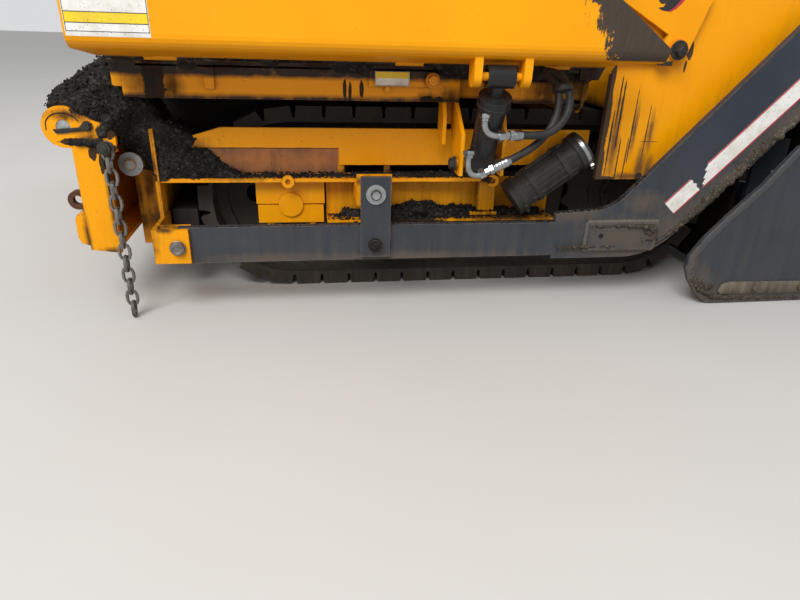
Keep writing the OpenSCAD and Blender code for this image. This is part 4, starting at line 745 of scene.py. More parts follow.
def fitting(name, elbow, end, tip):
    """Elbow pipe, swivel nut, adapter and ferrule in a line from the elbow to the hose."""
    direction = (Vector(end) - Vector(elbow[-1])).normalized()
    base = Vector(elbow[-1])
    length = (Vector(end) - base).length
    parts = [tube(name + "_pipe", elbow, 0.0105, sides=16)]
    parts.append(stood("nut", mm("15.5 0, 17.5 2, 17.5 18, 15.5 20"), base - direction * 0.004, direction,
        sides=6))
    parts.append(stood("adapter", mm("11.5 0, 11.5 16, 16.5 18, 16.5 30, 12.5 32"), base + direction * 0.014,
        direction, sides=6, turn=0.4))
    rings = [(0.013, 0)]
    for step in range(5):
        height = 0.004 + step * (length - 0.052) / 5
        rings += [(0.0162, height), (0.0162, height + 0.004), (0.0154, height + 0.0055)]
    parts.append(stood("ferrule", rings + [(0.015, length - 0.046), (0.0138, length - 0.044)],
        base + direction * 0.044, direction, sides=24))
    parts.append(stood("port", mm("20 0, 20 10, 16 13, 16 20, 13 22"), Vector(elbow[0]) + Vector(tip) * 0.012,
        tuple(-c for c in tip), sides=6))
    return joined(name, parts)


pair(fitting("upper_port_fitting", UPPER_FITTING, UPPER_HOSE[0], (0.1, 0.1, 1)), bright_zinc,
    "wing_barrel_left")
pair(fitting("lower_port_fitting", LOWER_FITTING, LOWER_HOSE[0], (0.1, 0.2, 1)), bright_zinc,
    "wing_barrel_left")
for hose_name, route in (("upper_cylinder_hose", UPPER_HOSE), ("lower_cylinder_hose", LOWER_HOSE)):
    for side, way in SIDES:
        line = smoothed([(x, -way * y, z) for x, y, z in route])
        hose = finished(tube(hose_name + "_" + side, line, 0.0125, straight=True), hose_rubber, None, 60)
        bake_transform(hose)
# Clip that gathers the two hoses
pair(stood("hose_clip", mm("30 0, 32 3, 32 15, 30 18"), (-0.036, -1.232, 0.735), (-0.1, 0.35, 0.95), sides=28),
    black_plastic, "hopper")

# Cylinder's gland collar and pin bolts
barrel_way = (Vector((0, -1.322, 0.78)) - Vector((0, -1.19, 0.505))).normalized()
barrel_foot = Vector((-0.27, -1.19, 0.505))
gland = turned("cylinder_gland", mm("46 0, 50 2, 51.5 6, 51.5 12, 47 14, 47 22, 50 24, 50 30, 34 34, 24 35"))
pair(put(gland, aimed(barrel_foot + barrel_way * 0.2095, barrel_way)), black_enamel, "wing_barrel_left")
pair(bolts("hanger_pin_nut", [(-0.354, -1.19, 0.505)], 0.032, 0.016, along=FORE, washer=0.024), bolt_black,
    "hopper")

# Air duct: a black clamp with its screw housing in front, and a bright one behind
duct_a, duct_b = Vector((-0.113, -1.08, 0.357)), Vector((0.133, -1.08, 0.539))
duct_way = (duct_b - duct_a).normalized()


def duct_clamp(at, radius, name, material, turn):
    """A worm-drive clamp round the air duct at a distance from its front end."""
    band = turned("band", [(radius, 0), (radius + 0.0015, 0.0006), (radius + 0.0015, 0.0124), (radius, 0.013)],
        sides=48)
    put(band, aimed(duct_a + duct_way * at, duct_way))
    out = Matrix.Rotation(turn, 3, duct_way) @ Vector(LEFT)
    across = duct_way.cross(out)
    housing = box("housing", (-0.013, -0.0075, 0), (0.013, 0.0075, 0.01), 1.5)
    screw = turned("screw", mm("4.2 -18, 4.5 12, 6.6 13, 6.6 20, 5 21"), sides=6)
    put(screw, Matrix.Translation((0, 0, 0.0055)) @ Matrix.Rotation(math.radians(90), 4, "Y"))
    head = joined("head", [housing, screw])
    frame_axes = Matrix((across, duct_way, out)).transposed().to_4x4()
    put(head, Matrix.Translation(duct_a + duct_way * (at + 0.0065) + out * (radius + 0.001)) @ frame_axes)
    finished(joined(name, [band, head]), material)


duct_clamp(0.016, 0.0663, "duct_clamp_front", bolt_black, 0.5)
duct_clamp(0.282, 0.0663, "duct_clamp_rear", bright_zinc, 0.9)

# Printed films, all blank. Outlines are in x and z on a side face, seen from the left


def sheet_on(name, outline, y, thick):
    """A thin flat piece on a face that looks to the left, cut to an outline in x and z."""
    return cut_plate(name, [(x, -y, z) for x, z in outline], (0, -thick, 0))


def oblong(x0, x1, z0, z1):
    """Corners of an upright oblong in x and z."""
    return [(x0, z0), (x1, z0), (x1, z1), (x0, z1)]


def bordered(name, x0, x1, z0, z1, y, wide, thick):
    """A thin frame inside an oblong."""
    bars = [oblong(x0, x1, z0, z0 + wide), oblong(x0, x1, z1 - wide, z1),
        oblong(x0, x0 + wide, z0 + wide, z1 - wide), oblong(x1 - wide, x1, z0 + wide, z1 - wide)]
    return joined(name, [sheet_on("bar", bar, y, thick) for bar in bars])


# Warning label on the wing: white, with a yellow heading band between black lines; its foot follows the bend
label_foot = cut_plate("foot", mm("-1404 -1368.8 857, -1203 -1368.8 857, -1203 -1370.2 867, "
    "-1404 -1370.2 867"), (0, -0.0005, 0))
pair(joined("wing_label", [sheet_on("field", oblong(-1.404, -1.203, 0.8665, 0.972), 1.3702, 0.0005),
    label_foot]), white_film, "wing_left", 10)
pair(sheet_on("wing_label_heading", oblong(-1.402, -1.205, 0.8885, 0.9115), 1.3707, 0.0002), yellow_film,
    "wing_left", 10)
label_lines = [bordered("border", -1.4025, -1.2045, 0.8675, 0.9705, 1.3707, 0.0016, 0.0003),
    sheet_on("line", oblong(-1.402, -1.205, 0.8868, 0.8887), 1.3707, 0.0004),
    sheet_on("line", oblong(-1.402, -1.205, 0.9113, 0.9132), 1.3707, 0.0004)]
pair(joined("wing_label_lines", label_lines), black_film, "wing_left", 10)

# Small label on the latch bar, its upper half yellow
pair(sheet_on("latch_label", oblong(-0.61, -0.502, 0.733, 0.7755), 1.1301, 0.0006), white_film, "hopper", 10)
pair(sheet_on("latch_label_heading", oblong(-0.608, -0.504, 0.7555, 0.774), 1.1307, 0.0002), yellow_film,
    "hopper", 10)
pair(bordered("latch_label_border", -0.609, -0.503, 0.734, 0.775, 1.1307, 0.001, 0.0003), black_film, "hopper",
    10)
pair(bolts("latch_pivot", [(-0.429, -1.138, 0.752)], 0.03, 0.012, washer=0.023, washer_t=0.004), bolt_orange,
    "hopper")

# Striped film up the tow arm, torn across: places given as (along the slope, across it)
SLOPE = (0.679, 0.7341)


def on_slope(points):
    """Places on the tow arm's slope, in x and z."""
    return [(along * SLOPE[0] + across * SLOPE[1], along * SLOPE[1] - across * SLOPE[0])
        for along, across in points]


arm_film_parts = (mm("549 54, 662 54, 668 66, 663 74, 672 86, 664 96, 668 106, 664 116, 551 116"),
    mm("740 54, 1230 54, 1230 116, 678 116, 689 108, 684 103, 705 94, 699 88, 724 76, 718 68, 735 62"))
pair(joined("arm_stripe", [sheet_on("film", on_slope(part), 1.1901, 0.0005) for part in arm_film_parts]),
    white_film, "screed", 10, slot="paint_dark")
arm_edges = [mm("549 54, 662 54, 664 58.5, 549 58.5"), mm("551 111.5, 664 111.5, 664 116, 551 116"),
    mm("740 54, 1230 54, 1230 58.5, 737 58.5"), mm("684 111.5, 1230 111.5, 1230 116, 678 116")]
pair(joined("arm_stripe_edges", [sheet_on("edge", on_slope(part), 1.1906, 0.0003) for part in arm_edges]),
    red_film, "screed", 10, slot="paint_dark")

# Torn remains of a large black and red film on the hopper's cheek
pair(sheet_on("cheek_film", mm("286 1020, 284 1000, 296 992, 309 994, 303 984, 286 981, 300 974, 318 972, "
    "330 975, 346 988, 362 1010, 366 1020"), 1.1271, 0.0005), black_film, "hopper", 10)
pair(sheet_on("cheek_film_stripe", mm("318 972, 331 971, 350 982, 366 999, 378 1020, 366 1020, 356 1002, "
    "343 986, 330 976"), 1.1276, 0.0004), red_film, "hopper", 10)

# Strip below the rail, rubbed down to rusty steel
pair(cut_plate("rail_wear_strip", mm("-1200 -1002.2 428.5, -722 -1002.2 428.5, -722 -1002.2 519, "
    "-1165 -1002.2 519"), (0, -0.0012, 0)), worn_steel, smooth=10)

# Gate: flat bar round its front edge, and the wear shoe along its foot
GATE_EDGE = mm("880 599, 817 574, 717 441, 615 332, 549 253, 510 191, 506 145, 525 100, 561 50, 601 16")
GATE_INNER = mm("623 32, 581 66, 546 110, 529 148, 532 183, 567 239, 632 317, 733 427, 830 558, 888 580")
pair(cut_plate("gate_edge_bar", [(x, -1.2601, z) for x, z in GATE_EDGE + GATE_INNER], (0, -0.0045, 0), 1.2),
    gate_edge_enamel, "ext_left", 30)
pair(weld("gate_edge_weld", [(x, -1.26, z) for x, z in GATE_INNER], 0.0028, 0.25), dark_weld, "ext_left", 60)
pair(cut_plate("gate_wear_shoe", mm("650 -1260.1 52, 668 -1260.1 40, 1470 -1260.1 30, 1480 -1260.1 74, "
    "690 -1260.1 88, 664 -1260.1 78"), (0, -0.0075, 0), 2.0), wear_iron, "ext_left", 30, slot="paint_dark")
pair(bolts("gate_shoe_bolts", [(0.8 + 0.19 * i, -1.2676, 0.0605 - 0.0035 * i) for i in range(4)], 0.018,
    0.007), wear_iron, "ext_left", slot="zinc_steel")

# Arm pad: crusty weld all round it and its plugged hole
PAD = mm("139 -1191.5 300, 399 -1191.5 300, 399 -1191.5 198, 139 -1191.5 198")
pair(weld("pad_weld", PAD + PAD[:1], 0.0065, 0.35, 0.009), dark_weld, "screed", 60)
pair(stood("pad_plug", mm("8.5 0, 8.5 1, 6.5 1.2, 6 0.6"), (0.189, -1.2041, 0.253), LEFT, sides=20), dry_mix,
    "screed", slot="paint_dark")

# Hopper's pivot: washer and castellated nut over the pin's end
pivot_nut = bolts("pivot_nut", [(0.38, -1.1372, 0.86)], 0.036, 0.02, washer=0.03, washer_t=0.005, shank=0.012)
pair(pivot_nut, bolt_black)
clamp = [box("clamp", (0.318, -1.14, 0.812), (0.366, -1.1265, 0.826), 2.0),
    put(hex_bolt(0.013, 0.005), aimed((0.332, -1.14, 0.819), LEFT))]
pair(joined("edge_clamp", clamp), bolt_black, "hopper")

# Weld beads where plates meet: along the shelf, the post and the bumper
for name, line in (("shelf_weld", mm("-1306 -1010.5 431.5, -560 -1010.5 431.5")),
        ("post_weld", mm("-1309.5 -1056 230, -1309.5 -1056 560")),
        ("bracket_weld", mm("-219.5 -1031 305, -219.5 -1031 408"))):
    pair(weld(name, line, 0.0032), weld_slag, smooth=60)

# Spilled mix: lumps laid along a heap's line are fused, roughened, and strewn with loose stones


def fused(name, parts, voxel_mm, rough_mm, grain_mm, smoothing=5):
    """Several solid parts fused into one heap with a granular face."""
    heap = joined(name, parts)
    apply_modifier(heap, "REMESH", mode="VOXEL", voxel_size=voxel_mm / 1000)
    apply_modifier(heap, "SMOOTH", iterations=smoothing, factor=0.6)
    for size, depth in ((0.055, rough_mm), (0.02, rough_mm * 0.45), (grain_mm / 450, grain_mm * 0.7)):
        pattern = bpy.data.textures.new(name + "_relief", "CLOUDS")
        pattern.noise_scale = size
        apply_modifier(heap, "DISPLACE", texture=pattern, texture_coords="LOCAL", strength=depth / 1000,
            mid_level=0.5)
    return heap


def lumps(places):
    """Round lumps of (x, y, z, radius across, height share)."""
    seed = start(mesh_edit.primitive_ico_sphere_add, "lump", subdivisions=2, radius=1)
    parts = []
    for x, y, z, radius, tall in places:
        shape = Matrix.Diagonal((radius, radius, radius * tall, 1))
        parts.append(copied(seed, "lump", Matrix.Translation((x, y, z)) @ shape))
    bpy.data.objects.remove(seed)
    return parts


def inside(x, z, outline):
    """Whether a point lies inside a closed outline."""
    crossed = False
    for (x0, z0), (x1, z1) in zip(outline, outline[1:] + outline[:1]):
        if (z0 > z) != (z1 > z) and x < x0 + (z - z0) * (x1 - x0) / (z1 - z0):
            crossed = not crossed
    return crossed


def banked(name, outline, depths, inwards, way):
    """A bank of mix cut to an outline in x and z, its outer face at the depths given at places (x, z, y)."""
    xs, zs = [x for x, _ in outline], [z for _, z in outline]
    bank = start(mesh_edit.primitive_grid_add, name, x_subdivisions=70, y_subdivisions=50, size=1)
    for vertex in bank.data.vertices:
        x = min(xs) + (vertex.co.x + 0.5) * (max(xs) - min(xs))
        z = min(zs) + (vertex.co.y + 0.5) * (max(zs) - min(zs))
        weights = [(1 / (math.dist((x, z), (px, pz)) + 0.004) ** 3, y) for px, pz, y in depths]
        vertex.co = (x, way * sum(w * y for w, y in weights) / sum(w for w, _ in weights), z)
    choose(bank, lambda centre, normal: not inside(centre.x, centre.z, outline))
    mesh_edit.delete(type="FACE")
    mesh_edit.select_all(action="SELECT")
    mesh_edit.extrude_region_move(TRANSFORM_OT_translate={"value": (0, -way * inwards, 0)})
    mesh_edit.select_all(action="SELECT")
    mesh_edit.normals_make_consistent(inside=False)
    done()
    return bank


def stone(draw, size):
    """One crushed stone as a move, a squeeze and a turn of the pattern stone."""
    turn = Matrix.Rotation(draw.uniform(0, 6.28), 4,
        Vector((draw.uniform(-1, 1), draw.uniform(-1, 1), 1)).normalized())
    squeeze = Matrix.Diagonal((size * draw.uniform(0.7, 1.2), size * draw.uniform(0.7, 1.2),
        size * draw.uniform(0.5, 0.9), 1))
    return turn @ squeeze


def stone_mesh(name, moves):
    """One piece of many stones, each the same small pattern put in its place by a move and a shape."""
    pattern = start(mesh_edit.primitive_ico_sphere_add, "stone", subdivisions=1, radius=0.5)
    corners = [vertex.co.copy() for vertex in pattern.data.vertices]
    faces = [tuple(face.vertices) for face in pattern.data.polygons]
    bpy.data.objects.remove(pattern)
    points, cells = [], []
    for place, shape in moves:
        first = len(points)
        points += [place @ (shape @ corner) for corner in corners]
        cells += [tuple(first + corner for corner in face) for face in faces]
    data = bpy.data.meshes.new(name)
    data.from_pydata(points, [], cells)
    made = bpy.data.objects.new(name, data)
    bpy.context.collection.objects.link(made)
    return made


# Loose stones roll off faces that lean more than this
STEEPEST = 0.35


def strewn(name, areas, seed, only=None):
    """Loose stones on what lies under areas: (x from, x to, y from, y to, top, count, size in mm, lowest)."""
    draw = random.Random(seed)
    moves = []
    bpy.context.view_layer.update()
    for x0, x1, y0, y1, top, count, size, lowest in areas:
        for _ in range(count):
            x, y = draw.uniform(x0, x1), draw.uniform(y0, y1)
            grain = size / 1000 * draw.choice((0.5, 0.6, 0.7, 0.8, 1.0, 1.4))
            found = under(x, y, top)
            shape = stone(draw, grain)
            if not found or found[0].z < lowest or found[1].z < STEEPEST or (only and not found[2].name.startswith(only)):
                continue
            moves.append((Matrix.Translation(found[0] + Vector((0, 0, grain * 0.22))), shape))
    return stone_mesh(name, moves)


def line_of_lumps(draw, line, step, scatter):
    """Lumps along a broken line of (x, y, z, radius), each moved a little."""
    strung = []
    for (x0, y0, z0, r0), (x1, y1, z1, r1) in zip(line, line[1:]):
        count = max(1, int(math.dist((x0, y0, z0), (x1, y1, z1)) / step))
        for number in range(count):
            share = number / count
            radius = r0 + (r1 - r0) * share
            strung.append((x0 + (x1 - x0) * share + draw.uniform(-scatter, scatter),
                y0 + (y1 - y0) * share + draw.uniform(-scatter, scatter),
                z0 + (z1 - z0) * share + draw.uniform(-scatter, scatter) * 0.5,
                radius * draw.uniform(0.85, 1.1), draw.uniform(0.7, 0.95)))
    return strung


def granules(name, piece, low, high, count, size, seed):
    """Stones stuck to a heap's face, inside a box."""
    draw = random.Random(seed)
    faces = [face for face in piece.data.polygons
        if all(a <= c <= b for a, c, b in zip(low, face.center, high)) and face.normal.z > -0.5]
    moves = []
    for face in draw.choices(faces, weights=[face.area for face in faces], k=count):
        grain = size / 1000 * draw.choice((0.5, 0.6, 0.7, 0.8, 1.0, 1.3))
        shape = stone(draw, grain)
        spot = face.center + face.normal * grain * 0.12
        spot += Vector((draw.uniform(-1, 1), draw.uniform(-1, 1), draw.uniform(-1, 1))) * 0.003
        moves.append((Matrix.Translation(spot), shape))
    return stone_mesh(name, moves)


# Heap at each front corner: from the roller's end up to the hopper's lip, and down behind the post to the shelf
HEAP_OUTLINE = mm("-1572 655, -1558 690, -1533 718, -1490 750, -1460 767, -1428 795, -1390 812, -1345 790, "
    "-1332 700, -1300 615, -1240 580, -1190 550, -1140 500, -1090 455, -1050 432, -1050 418, -1320 418, "
    "-1330 440, -1385 450, -1398 520, -1415 580, -1440 600, -1500 640, -1560 648")
HEAP_DEPTHS = mm("-1590 650 1120, -1560 660 1150, -1530 670 1160, -1480 660 1166, -1440 630 1168, "
    "-1410 600 1165, -1500 740 1085, -1450 720 1110, -1440 770 1060, -1385 815 1020, -1400 700 1095, "
    "-1355 740 1050, -1400 640 1120, -1385 570 1070, -1370 520 1040, -1360 450 1010, -1350 600 1060, "
    "-1320 540 1050, -1300 600 1030, -1300 500 1045, -1300 430 1054, -1240 550 1010, -1240 480 1032, "
    "-1200 430 1053, -1180 530 1004, -1120 470 1015, -1120 430 1052, -1060 430 1050")
# No mix stands further forward than the push rollers
FRONT_LIMIT = -1.585
TROUGH = mm("-1500 1020 610 110, -1470 900 600 95, -1465 760 580 70, -1460 560 565 55, -1458 300 555 40, "
    "-1455 100 550 30")
INNER_SLOPE = mm("-1400 900 640 110, -1400 760 590 80, -1400 640 560 50")
for side, way in SIDES:
    draw = random.Random(41 + way)
    places = []
    for line in (TROUGH, INNER_SLOPE):
        places += line_of_lumps(draw, [(x, way * y, z, r) for x, y, z, r in line], 0.025, 0.012)
    bank = banked("bank", HEAP_OUTLINE, HEAP_DEPTHS, 0.13, way)
    heap = finished(fused("corner_heap_" + side, [bank] + lumps(places), 6, 16, 7), asphalt_mix, smooth=60)
    low, high = sorted((way * 1.2, way * 0.7))
    stones = finished(granules("corner_heap_stones_" + side, heap, (-1.62, low, 0.4), (-1.0, high, 0.9), 4200,
        8.5, 3 + way), asphalt_mix, smooth=20)
    for piece in (heap, stones):
        for vertex in piece.data.vertices:
            vertex.co.x = max(vertex.co.x, FRONT_LIMIT)

# Mix along the shelf, at the skirt's foot and behind the strap
SHELF = mm("-1070 1022 425 16, -900 1018 424 12, -720 1018 424 13, -500 1020 425 16, -300 1020 426 20, "
    "-200 1018 424 12")
FOOT = mm("-700 1010 282 22, -520 1012 287 30, -430 1012 300 42, -360 1012 288 32, -200 1012 284 26, "
    "20 1012 284 28")
for side, way in SIDES:
    draw = random.Random(61 + way)
    places = []
    for line in (SHELF, FOOT):
        places += line_of_lumps(draw, [(x, way * y, z, r) for x, y, z, r in line], 0.01, 0.008)
    finished(fused("shelf_mix_" + side, lumps(places), 4, 8, 6, 2), asphalt_mix, smooth=60)
    finished(strewn("shelf_stones_" + side,
        [(-1.08, -0.2, *sorted((way * 1.053, way * 1.0)), 0.456, 900, 7, 0.42),
        (-0.76, 0.06, *sorted((way * 1.07, way * 0.99)), 0.4, 900, 8, 0.27),
        (-0.6, -0.25, *sorted((way * 1.07, way * 1.0)), 0.4, 400, 10, 0.27)], 17 + way), asphalt_mix, smooth=20)

# Mix left in the hopper: a low bank along the floor, thickest at the rear corners
draw = random.Random(53)
bank = [(x + draw.uniform(-0.026, 0.026), y + draw.uniform(-0.028, 0.028), 0.788 + draw.uniform(-0.01, 0.01),
    (0.036 + 0.035 * max(0, (x + 0.6)) + 0.03 * (abs(y) > 0.8)) * draw.uniform(0.8, 1.25), 0.5)
    for x in [-1.32 + 0.058 * i for i in range(25)] for y in [-1.04 + 0.0655 * j for j in range(33)]
    if noise.noise(Vector((x * 2.2, y * 2.2, 3))) > -0.3 or x > -0.15]
finished(fused("hopper_residue", lumps(bank), 11, 16, 10), asphalt_mix, "hopper", 60)
finished(strewn("hopper_stones", [(-1.36, 0.1, -1.07, 1.07, 1.1, 2600, 13, 0.78)], 23), asphalt_mix, "hopper",
    20)
for side, way in SIDES:
    draw = random.Random(71 + way)
    wedge = []
    for step in range(190):
        x, y = -1.35 + 0.0072 * step, way * (1.165 + 0.085 * draw.random() ** 2)
        found = under(x, y, 1.1)
        if found and found[2].name.startswith("wing"):
            wedge.append((*(found[0] + found[1] * 0.009), 0.024 * draw.uniform(0.7, 1.2), 0.6))
    finished(fused("wing_residue_" + side, lumps(wedge), 5, 7, 7), asphalt_mix, "wing_" + side, 60)

# Mix caught under the roller's end plate and down the bumper's rear flange, and crumbs on the tow bar's ledge
for side, way in SIDES:
    draw = random.Random(83 + way)
    caught = []
    for seam in (mm("-1512 562 10, -1470 563 16, -1436 557 18, -1428 520 12, -1421 465 7"),
            mm("-1425 585 16, -1405 612 17, -1400 640 14")):
        caught += line_of_lumps(draw, [(x, way * 1.168, z, radius) for x, z, radius in seam], 0.007, 0.005)
    finished(fused("bumper_mix_" + side, lumps(caught), 3, 6, 5, 2), asphalt_mix, smooth=60)
    finished(strewn("arm_crumbs_" + side, [(-0.05, 0.33, *sorted((way * 1.19, way * 1.15)), 0.46, 420, 6, 0.3),
        (-1.2, 0.0, *sorted((way * 1.19, way * 1.15)), 0.4, 260, 5, 0.28)], 29 + way, "tow_arm"), asphalt_mix,
        "screed", 20)

# Mud and mix dried on the arms' pads and undersides, and on the gates' front corners
PAD_CRUST = (mm("150 288 5, 270 289 8, 366 285 13, 390 266 14, 388 243 11, 345 234 6"),
    mm("345 270 6, 378 256 12"), mm("30 212 5, 250 214 7"))
ARM_CRUST = (mm("400 214 8, 452 248 11, 547 340 16, 640 443 18, 742 556 18, 846 668 14"),
    mm("560 372 10, 650 470 14, 745 580 12"))
GATE_CRUST = (mm("527 150 6, 541 100 11, 580 58 16, 640 32 15, 720 20 10, 1000 16 6"),
    mm("560 98 9, 598 64 16, 628 76 11"))
for side, way in SIDES:
    draw = random.Random(211 + way)
    for piece, lines, out, body in (("pad_crust", PAD_CRUST, 1.202, "screed"),
            ("arm_crust", ARM_CRUST, 1.186, "screed"), ("gate_crust", GATE_CRUST, 1.257, "ext_" + side)):
        stuck = []
        for line in lines:
            stuck += line_of_lumps(draw, [(x, way * out, z, radius) for x, z, radius in line], 0.006, 0.004)
        crust = fused(piece + "_" + side, lumps(stuck), 2.5, 4, 5, 2)
        finished(crust, mud_crust, body, 60)

# Seats: each cushion and back is vinyl cloth blown up over its foam, with sewn channels and a piped seam
CLOTH_FRAMES, CLOTH_PRESSURE = 20, 4


def rounded_oblong(half_x, half_y, corner):
    """A rounded oblong round the middle."""
    spots = []
    for way_x, way_y, from_turn in ((1, 1, 0), (-1, 1, 90), (-1, -1, 180), (1, -1, 270)):
        for turn in range(from_turn, from_turn + 91, 15):
            angle = math.radians(turn)
            spots.append((way_x * (half_x - corner) + corner * math.cos(angle),
                way_y * (half_y - corner) + corner * math.sin(angle)))
    return spots


def foam_pad(name, half_x, half_y, thick, cap_mm):
    """A pad lying at the origin: closed cloth blown up over foam, its underside flat, its points moved within the cap."""
    pad = cut_plate(name, [(x, y, 0) for x, y in rounded_oblong(half_x, half_y, 0.045)], (0, 0, thick))
    edit(pad)
    mesh_edit.bevel(offset=thick * 0.3, segments=4, affect="EDGES")
    done()
    apply_modifier(pad, "REMESH", mode="VOXEL", voxel_size=0.007)
    held = pad.vertex_groups.new(name="held")
    held.add([vertex.index for vertex in pad.data.vertices if vertex.co.z < 0.012], 1.0, "REPLACE")
    before = [vertex.co.copy() for vertex in pad.data.vertices]
    cloth = pad.modifiers.new("cloth", "CLOTH")
    cloth.settings.use_pressure = True
    cloth.settings.uniform_pressure_force = CLOTH_PRESSURE
    cloth.settings.effector_weights.gravity = 0
    cloth.settings.vertex_group_mass = "held"
    cloth.point_cache.frame_end = CLOTH_FRAMES
    for frame_number in range(1, CLOTH_FRAMES + 1):
        bpy.context.scene.frame_set(frame_number)
    deselect_all(action="DESELECT")
    bpy.context.view_layer.objects.active = pad
    pad.select_set(True)
    object_tool.modifier_apply(modifier=cloth.name)
    bpy.context.scene.frame_set(1)
    for vertex, start_place in zip(pad.data.vertices, before):
        shift = vertex.co - start_place
        if shift.length > cap_mm / 1000:
            vertex.co = start_place + shift.normalized() * cap_mm / 1000
    apply_modifier(pad, "SMOOTH", iterations=3, factor=0.5)
    apply_modifier(pad, "SUBSURF", levels=1, render_levels=1)
    return pad


def sewn(pad, channels, depth, wide, floor_z):
    """Draws the cloth down along sewn channels, each a line of constant y or x."""
    for vertex in pad.data.vertices:
        if vertex.co.z > floor_z:
            for axis, at in channels:
                vertex.co.z -= depth * math.exp(-((vertex.co[axis] - at) / wide) ** 2)


def piping(pad, half_x, half_y, height, radius, name):
    """A welt that follows the pad's real side at one height."""
    line = []
    for x, y in rounded_oblong(half_x + 0.03, half_y + 0.03, 0.055):
        hit, place, _, _ = pad.closest_point_on_mesh(Vector((x, y, height)))
        line.append(place)
    return tube(name, line + line[:1], radius, 8)


cushion = foam_pad("seat_cushion", 0.138, 0.203, 0.078, 12)
sewn(cushion, [(1, -0.095), (1, 0.095), (0, -0.075)], 0.006, 0.006, 0.045)
cushion_welt = piping(cushion, 0.138, 0.203, 0.062, 0.0038, "cushion_welt")
stand_cushion = Matrix.Translation((1.092, -0.56, 1.3512))
back = foam_pad("seat_back", 0.166, 0.2, 0.078, 12)
sewn(back, [(1, -0.085), (1, 0.085), (0, 0.085)], 0.006, 0.006, 0.045)
back_welt = piping(back, 0.166, 0.2, 0.06, 0.0038, "back_welt")
# Stood up: the pad's length becomes height, and its crowned face looks forwards
stand_back = Matrix.Translation((1.2885, -0.56, 1.64)) @ Matrix.Rotation(math.radians(-90), 4, "Y")
for piece, stand in ((cushion, stand_cushion), (cushion_welt, stand_cushion), (back, stand_back),
        (back_welt, stand_back)):
    put(piece, stand)
for piece in (cushion, back):
    for twin, node_name in zip(pair(piece, seat_vinyl, smooth=60), ("seat_pad_left", "seat_pad_right")):
        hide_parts(node_name)
for piece in (cushion_welt, back_welt):
    pair(piece, black_plastic, smooth=60, slot="seat_vinyl")
# Seat shells, pedestal bellows and belt
pair(box("seat_pan", (0.948, -0.755, 1.336), (1.236, -0.365, 1.3505), 5), black_plastic)
pair(box("seat_shell", (1.2915, -0.742, 1.48), (1.3085, -0.378, 1.806), 6), black_plastic)
bellows = [(0.05, 1.052)]
for step in range(7):
    bellows += [(0.078, 1.062 + 0.032 * step), (0.058, 1.078 + 0.032 * step)]
pair(stood("seat_bellows", bellows + mm("72 1290, 72 1318, 46 1320"), (1.09, -0.56, 0), sides=28), hose_rubber,
    smooth=60)
pair(joined("seat_buckle", [box("plate", (1.19, -0.342, 1.405), (1.222, -0.332, 1.475), 3),
    box("button", (1.196, -0.331, 1.45), (1.216, -0.328, 1.468), 1)]), lamp_red)

# Console: sloping panel with switches, gauges, levers with knobs, and blank plates. On it, x runs up the slope,
# y to the left and z off it
PANEL = Matrix(((-0.7736, 0, 0.6337, 0.9785), (0, -1, 0, 0), (0.6337, 0, 0.7736, 1.4003), (0, 0, 0, 1)))


def on_panel(up, across, lift=0.0, turn=0.0, lean=0.0):
    """The move that stands a piece on the console's panel."""
    return PANEL @ Matrix.Translation((up, across, lift)) @ Matrix.Rotation(turn, 4,
        "Z") @ Matrix.Rotation(lean, 4, "Y")


def panel_box(name, up, across, length, width, tall, round_mm=1.0, lift=0.0, turn=0.0):
    """A block that lies on the console's panel."""
    return put(box(name, (-length / 2, -width / 2, 0), (length / 2, width / 2, tall), round_mm),
        on_panel(up, across, lift, turn))


GAUGES = (-0.075, 0.0, 0.075)
SWITCHES = [way * (0.105 + 0.035 * i) for way in (-1, 1) for i in range(5)]
draw = random.Random(5)
finished(panel_box("console_panel", 0.078, 0, 0.132, 0.62, 0.0022, 0.8), zinc)
bezel_rings = mm("28 0, 28 7, 26 9, 24 8, 23.5 5")
finished(joined("console_gauges", [put(turned("bezel", bezel_rings), on_panel(0.105, y, 0.002))
    for y in GAUGES]), black_plastic)
finished(joined("console_gauge_faces", [put(turned("face", mm("23.4 0, 23.4 6.2")), on_panel(0.105, y, 0.002))
    for y in GAUGES]), gauge_glass)
finished(joined("console_needles",
    [panel_box("needle", 0.105, y, 0.034, 0.0016, 0.0008, 0.2, 0.0085, draw.uniform(0, 6)) for y in GAUGES]),
    lamp_red)
toggles = []
for y in SWITCHES:
    toggles += [put(turned("collar", mm("9 0, 9 3, 5.5 4, 5.5 7"), 6), on_panel(0.052, y, 0.002)),
        put(turned("bat", mm("2.2 0, 3.6 18, 2 20"), 12),
        on_panel(0.052, y, 0.008, 0, draw.choice((-0.35, 0.35))))]
finished(joined("console_toggles", toggles), bolt_zinc)
plates = [panel_box("plate", 0.028, y, 0.01, 0.024, 0.0006, 0.2, 0.0022) for y in SWITCHES]
plates += [panel_box("plate", 0.105, way * 0.175, 0.05, 0.08, 0.0006, 0.2, 0.0022) for way in (-1, 1)]
finished(joined("console_blank_plates", plates), white_film, smooth=10, slot="paint_dark")
finished(joined("console_stop_button",
    [put(turned("stop", mm("12 0, 12 10, 20 12, 21 19, 16 25, 6 26.5")), on_panel(0.105, y, 0.002))
    for y in (-0.262, 0.262)]), lamp_red)
lamps = [put(turned("lamp", mm("6 0, 6 3, 4 6, 1 6.8"), 16), on_panel(0.075, y, 0.002)) for y in SWITCHES]
finished(joined("console_lamps", lamps), yellow_film, slot="black_rubber")
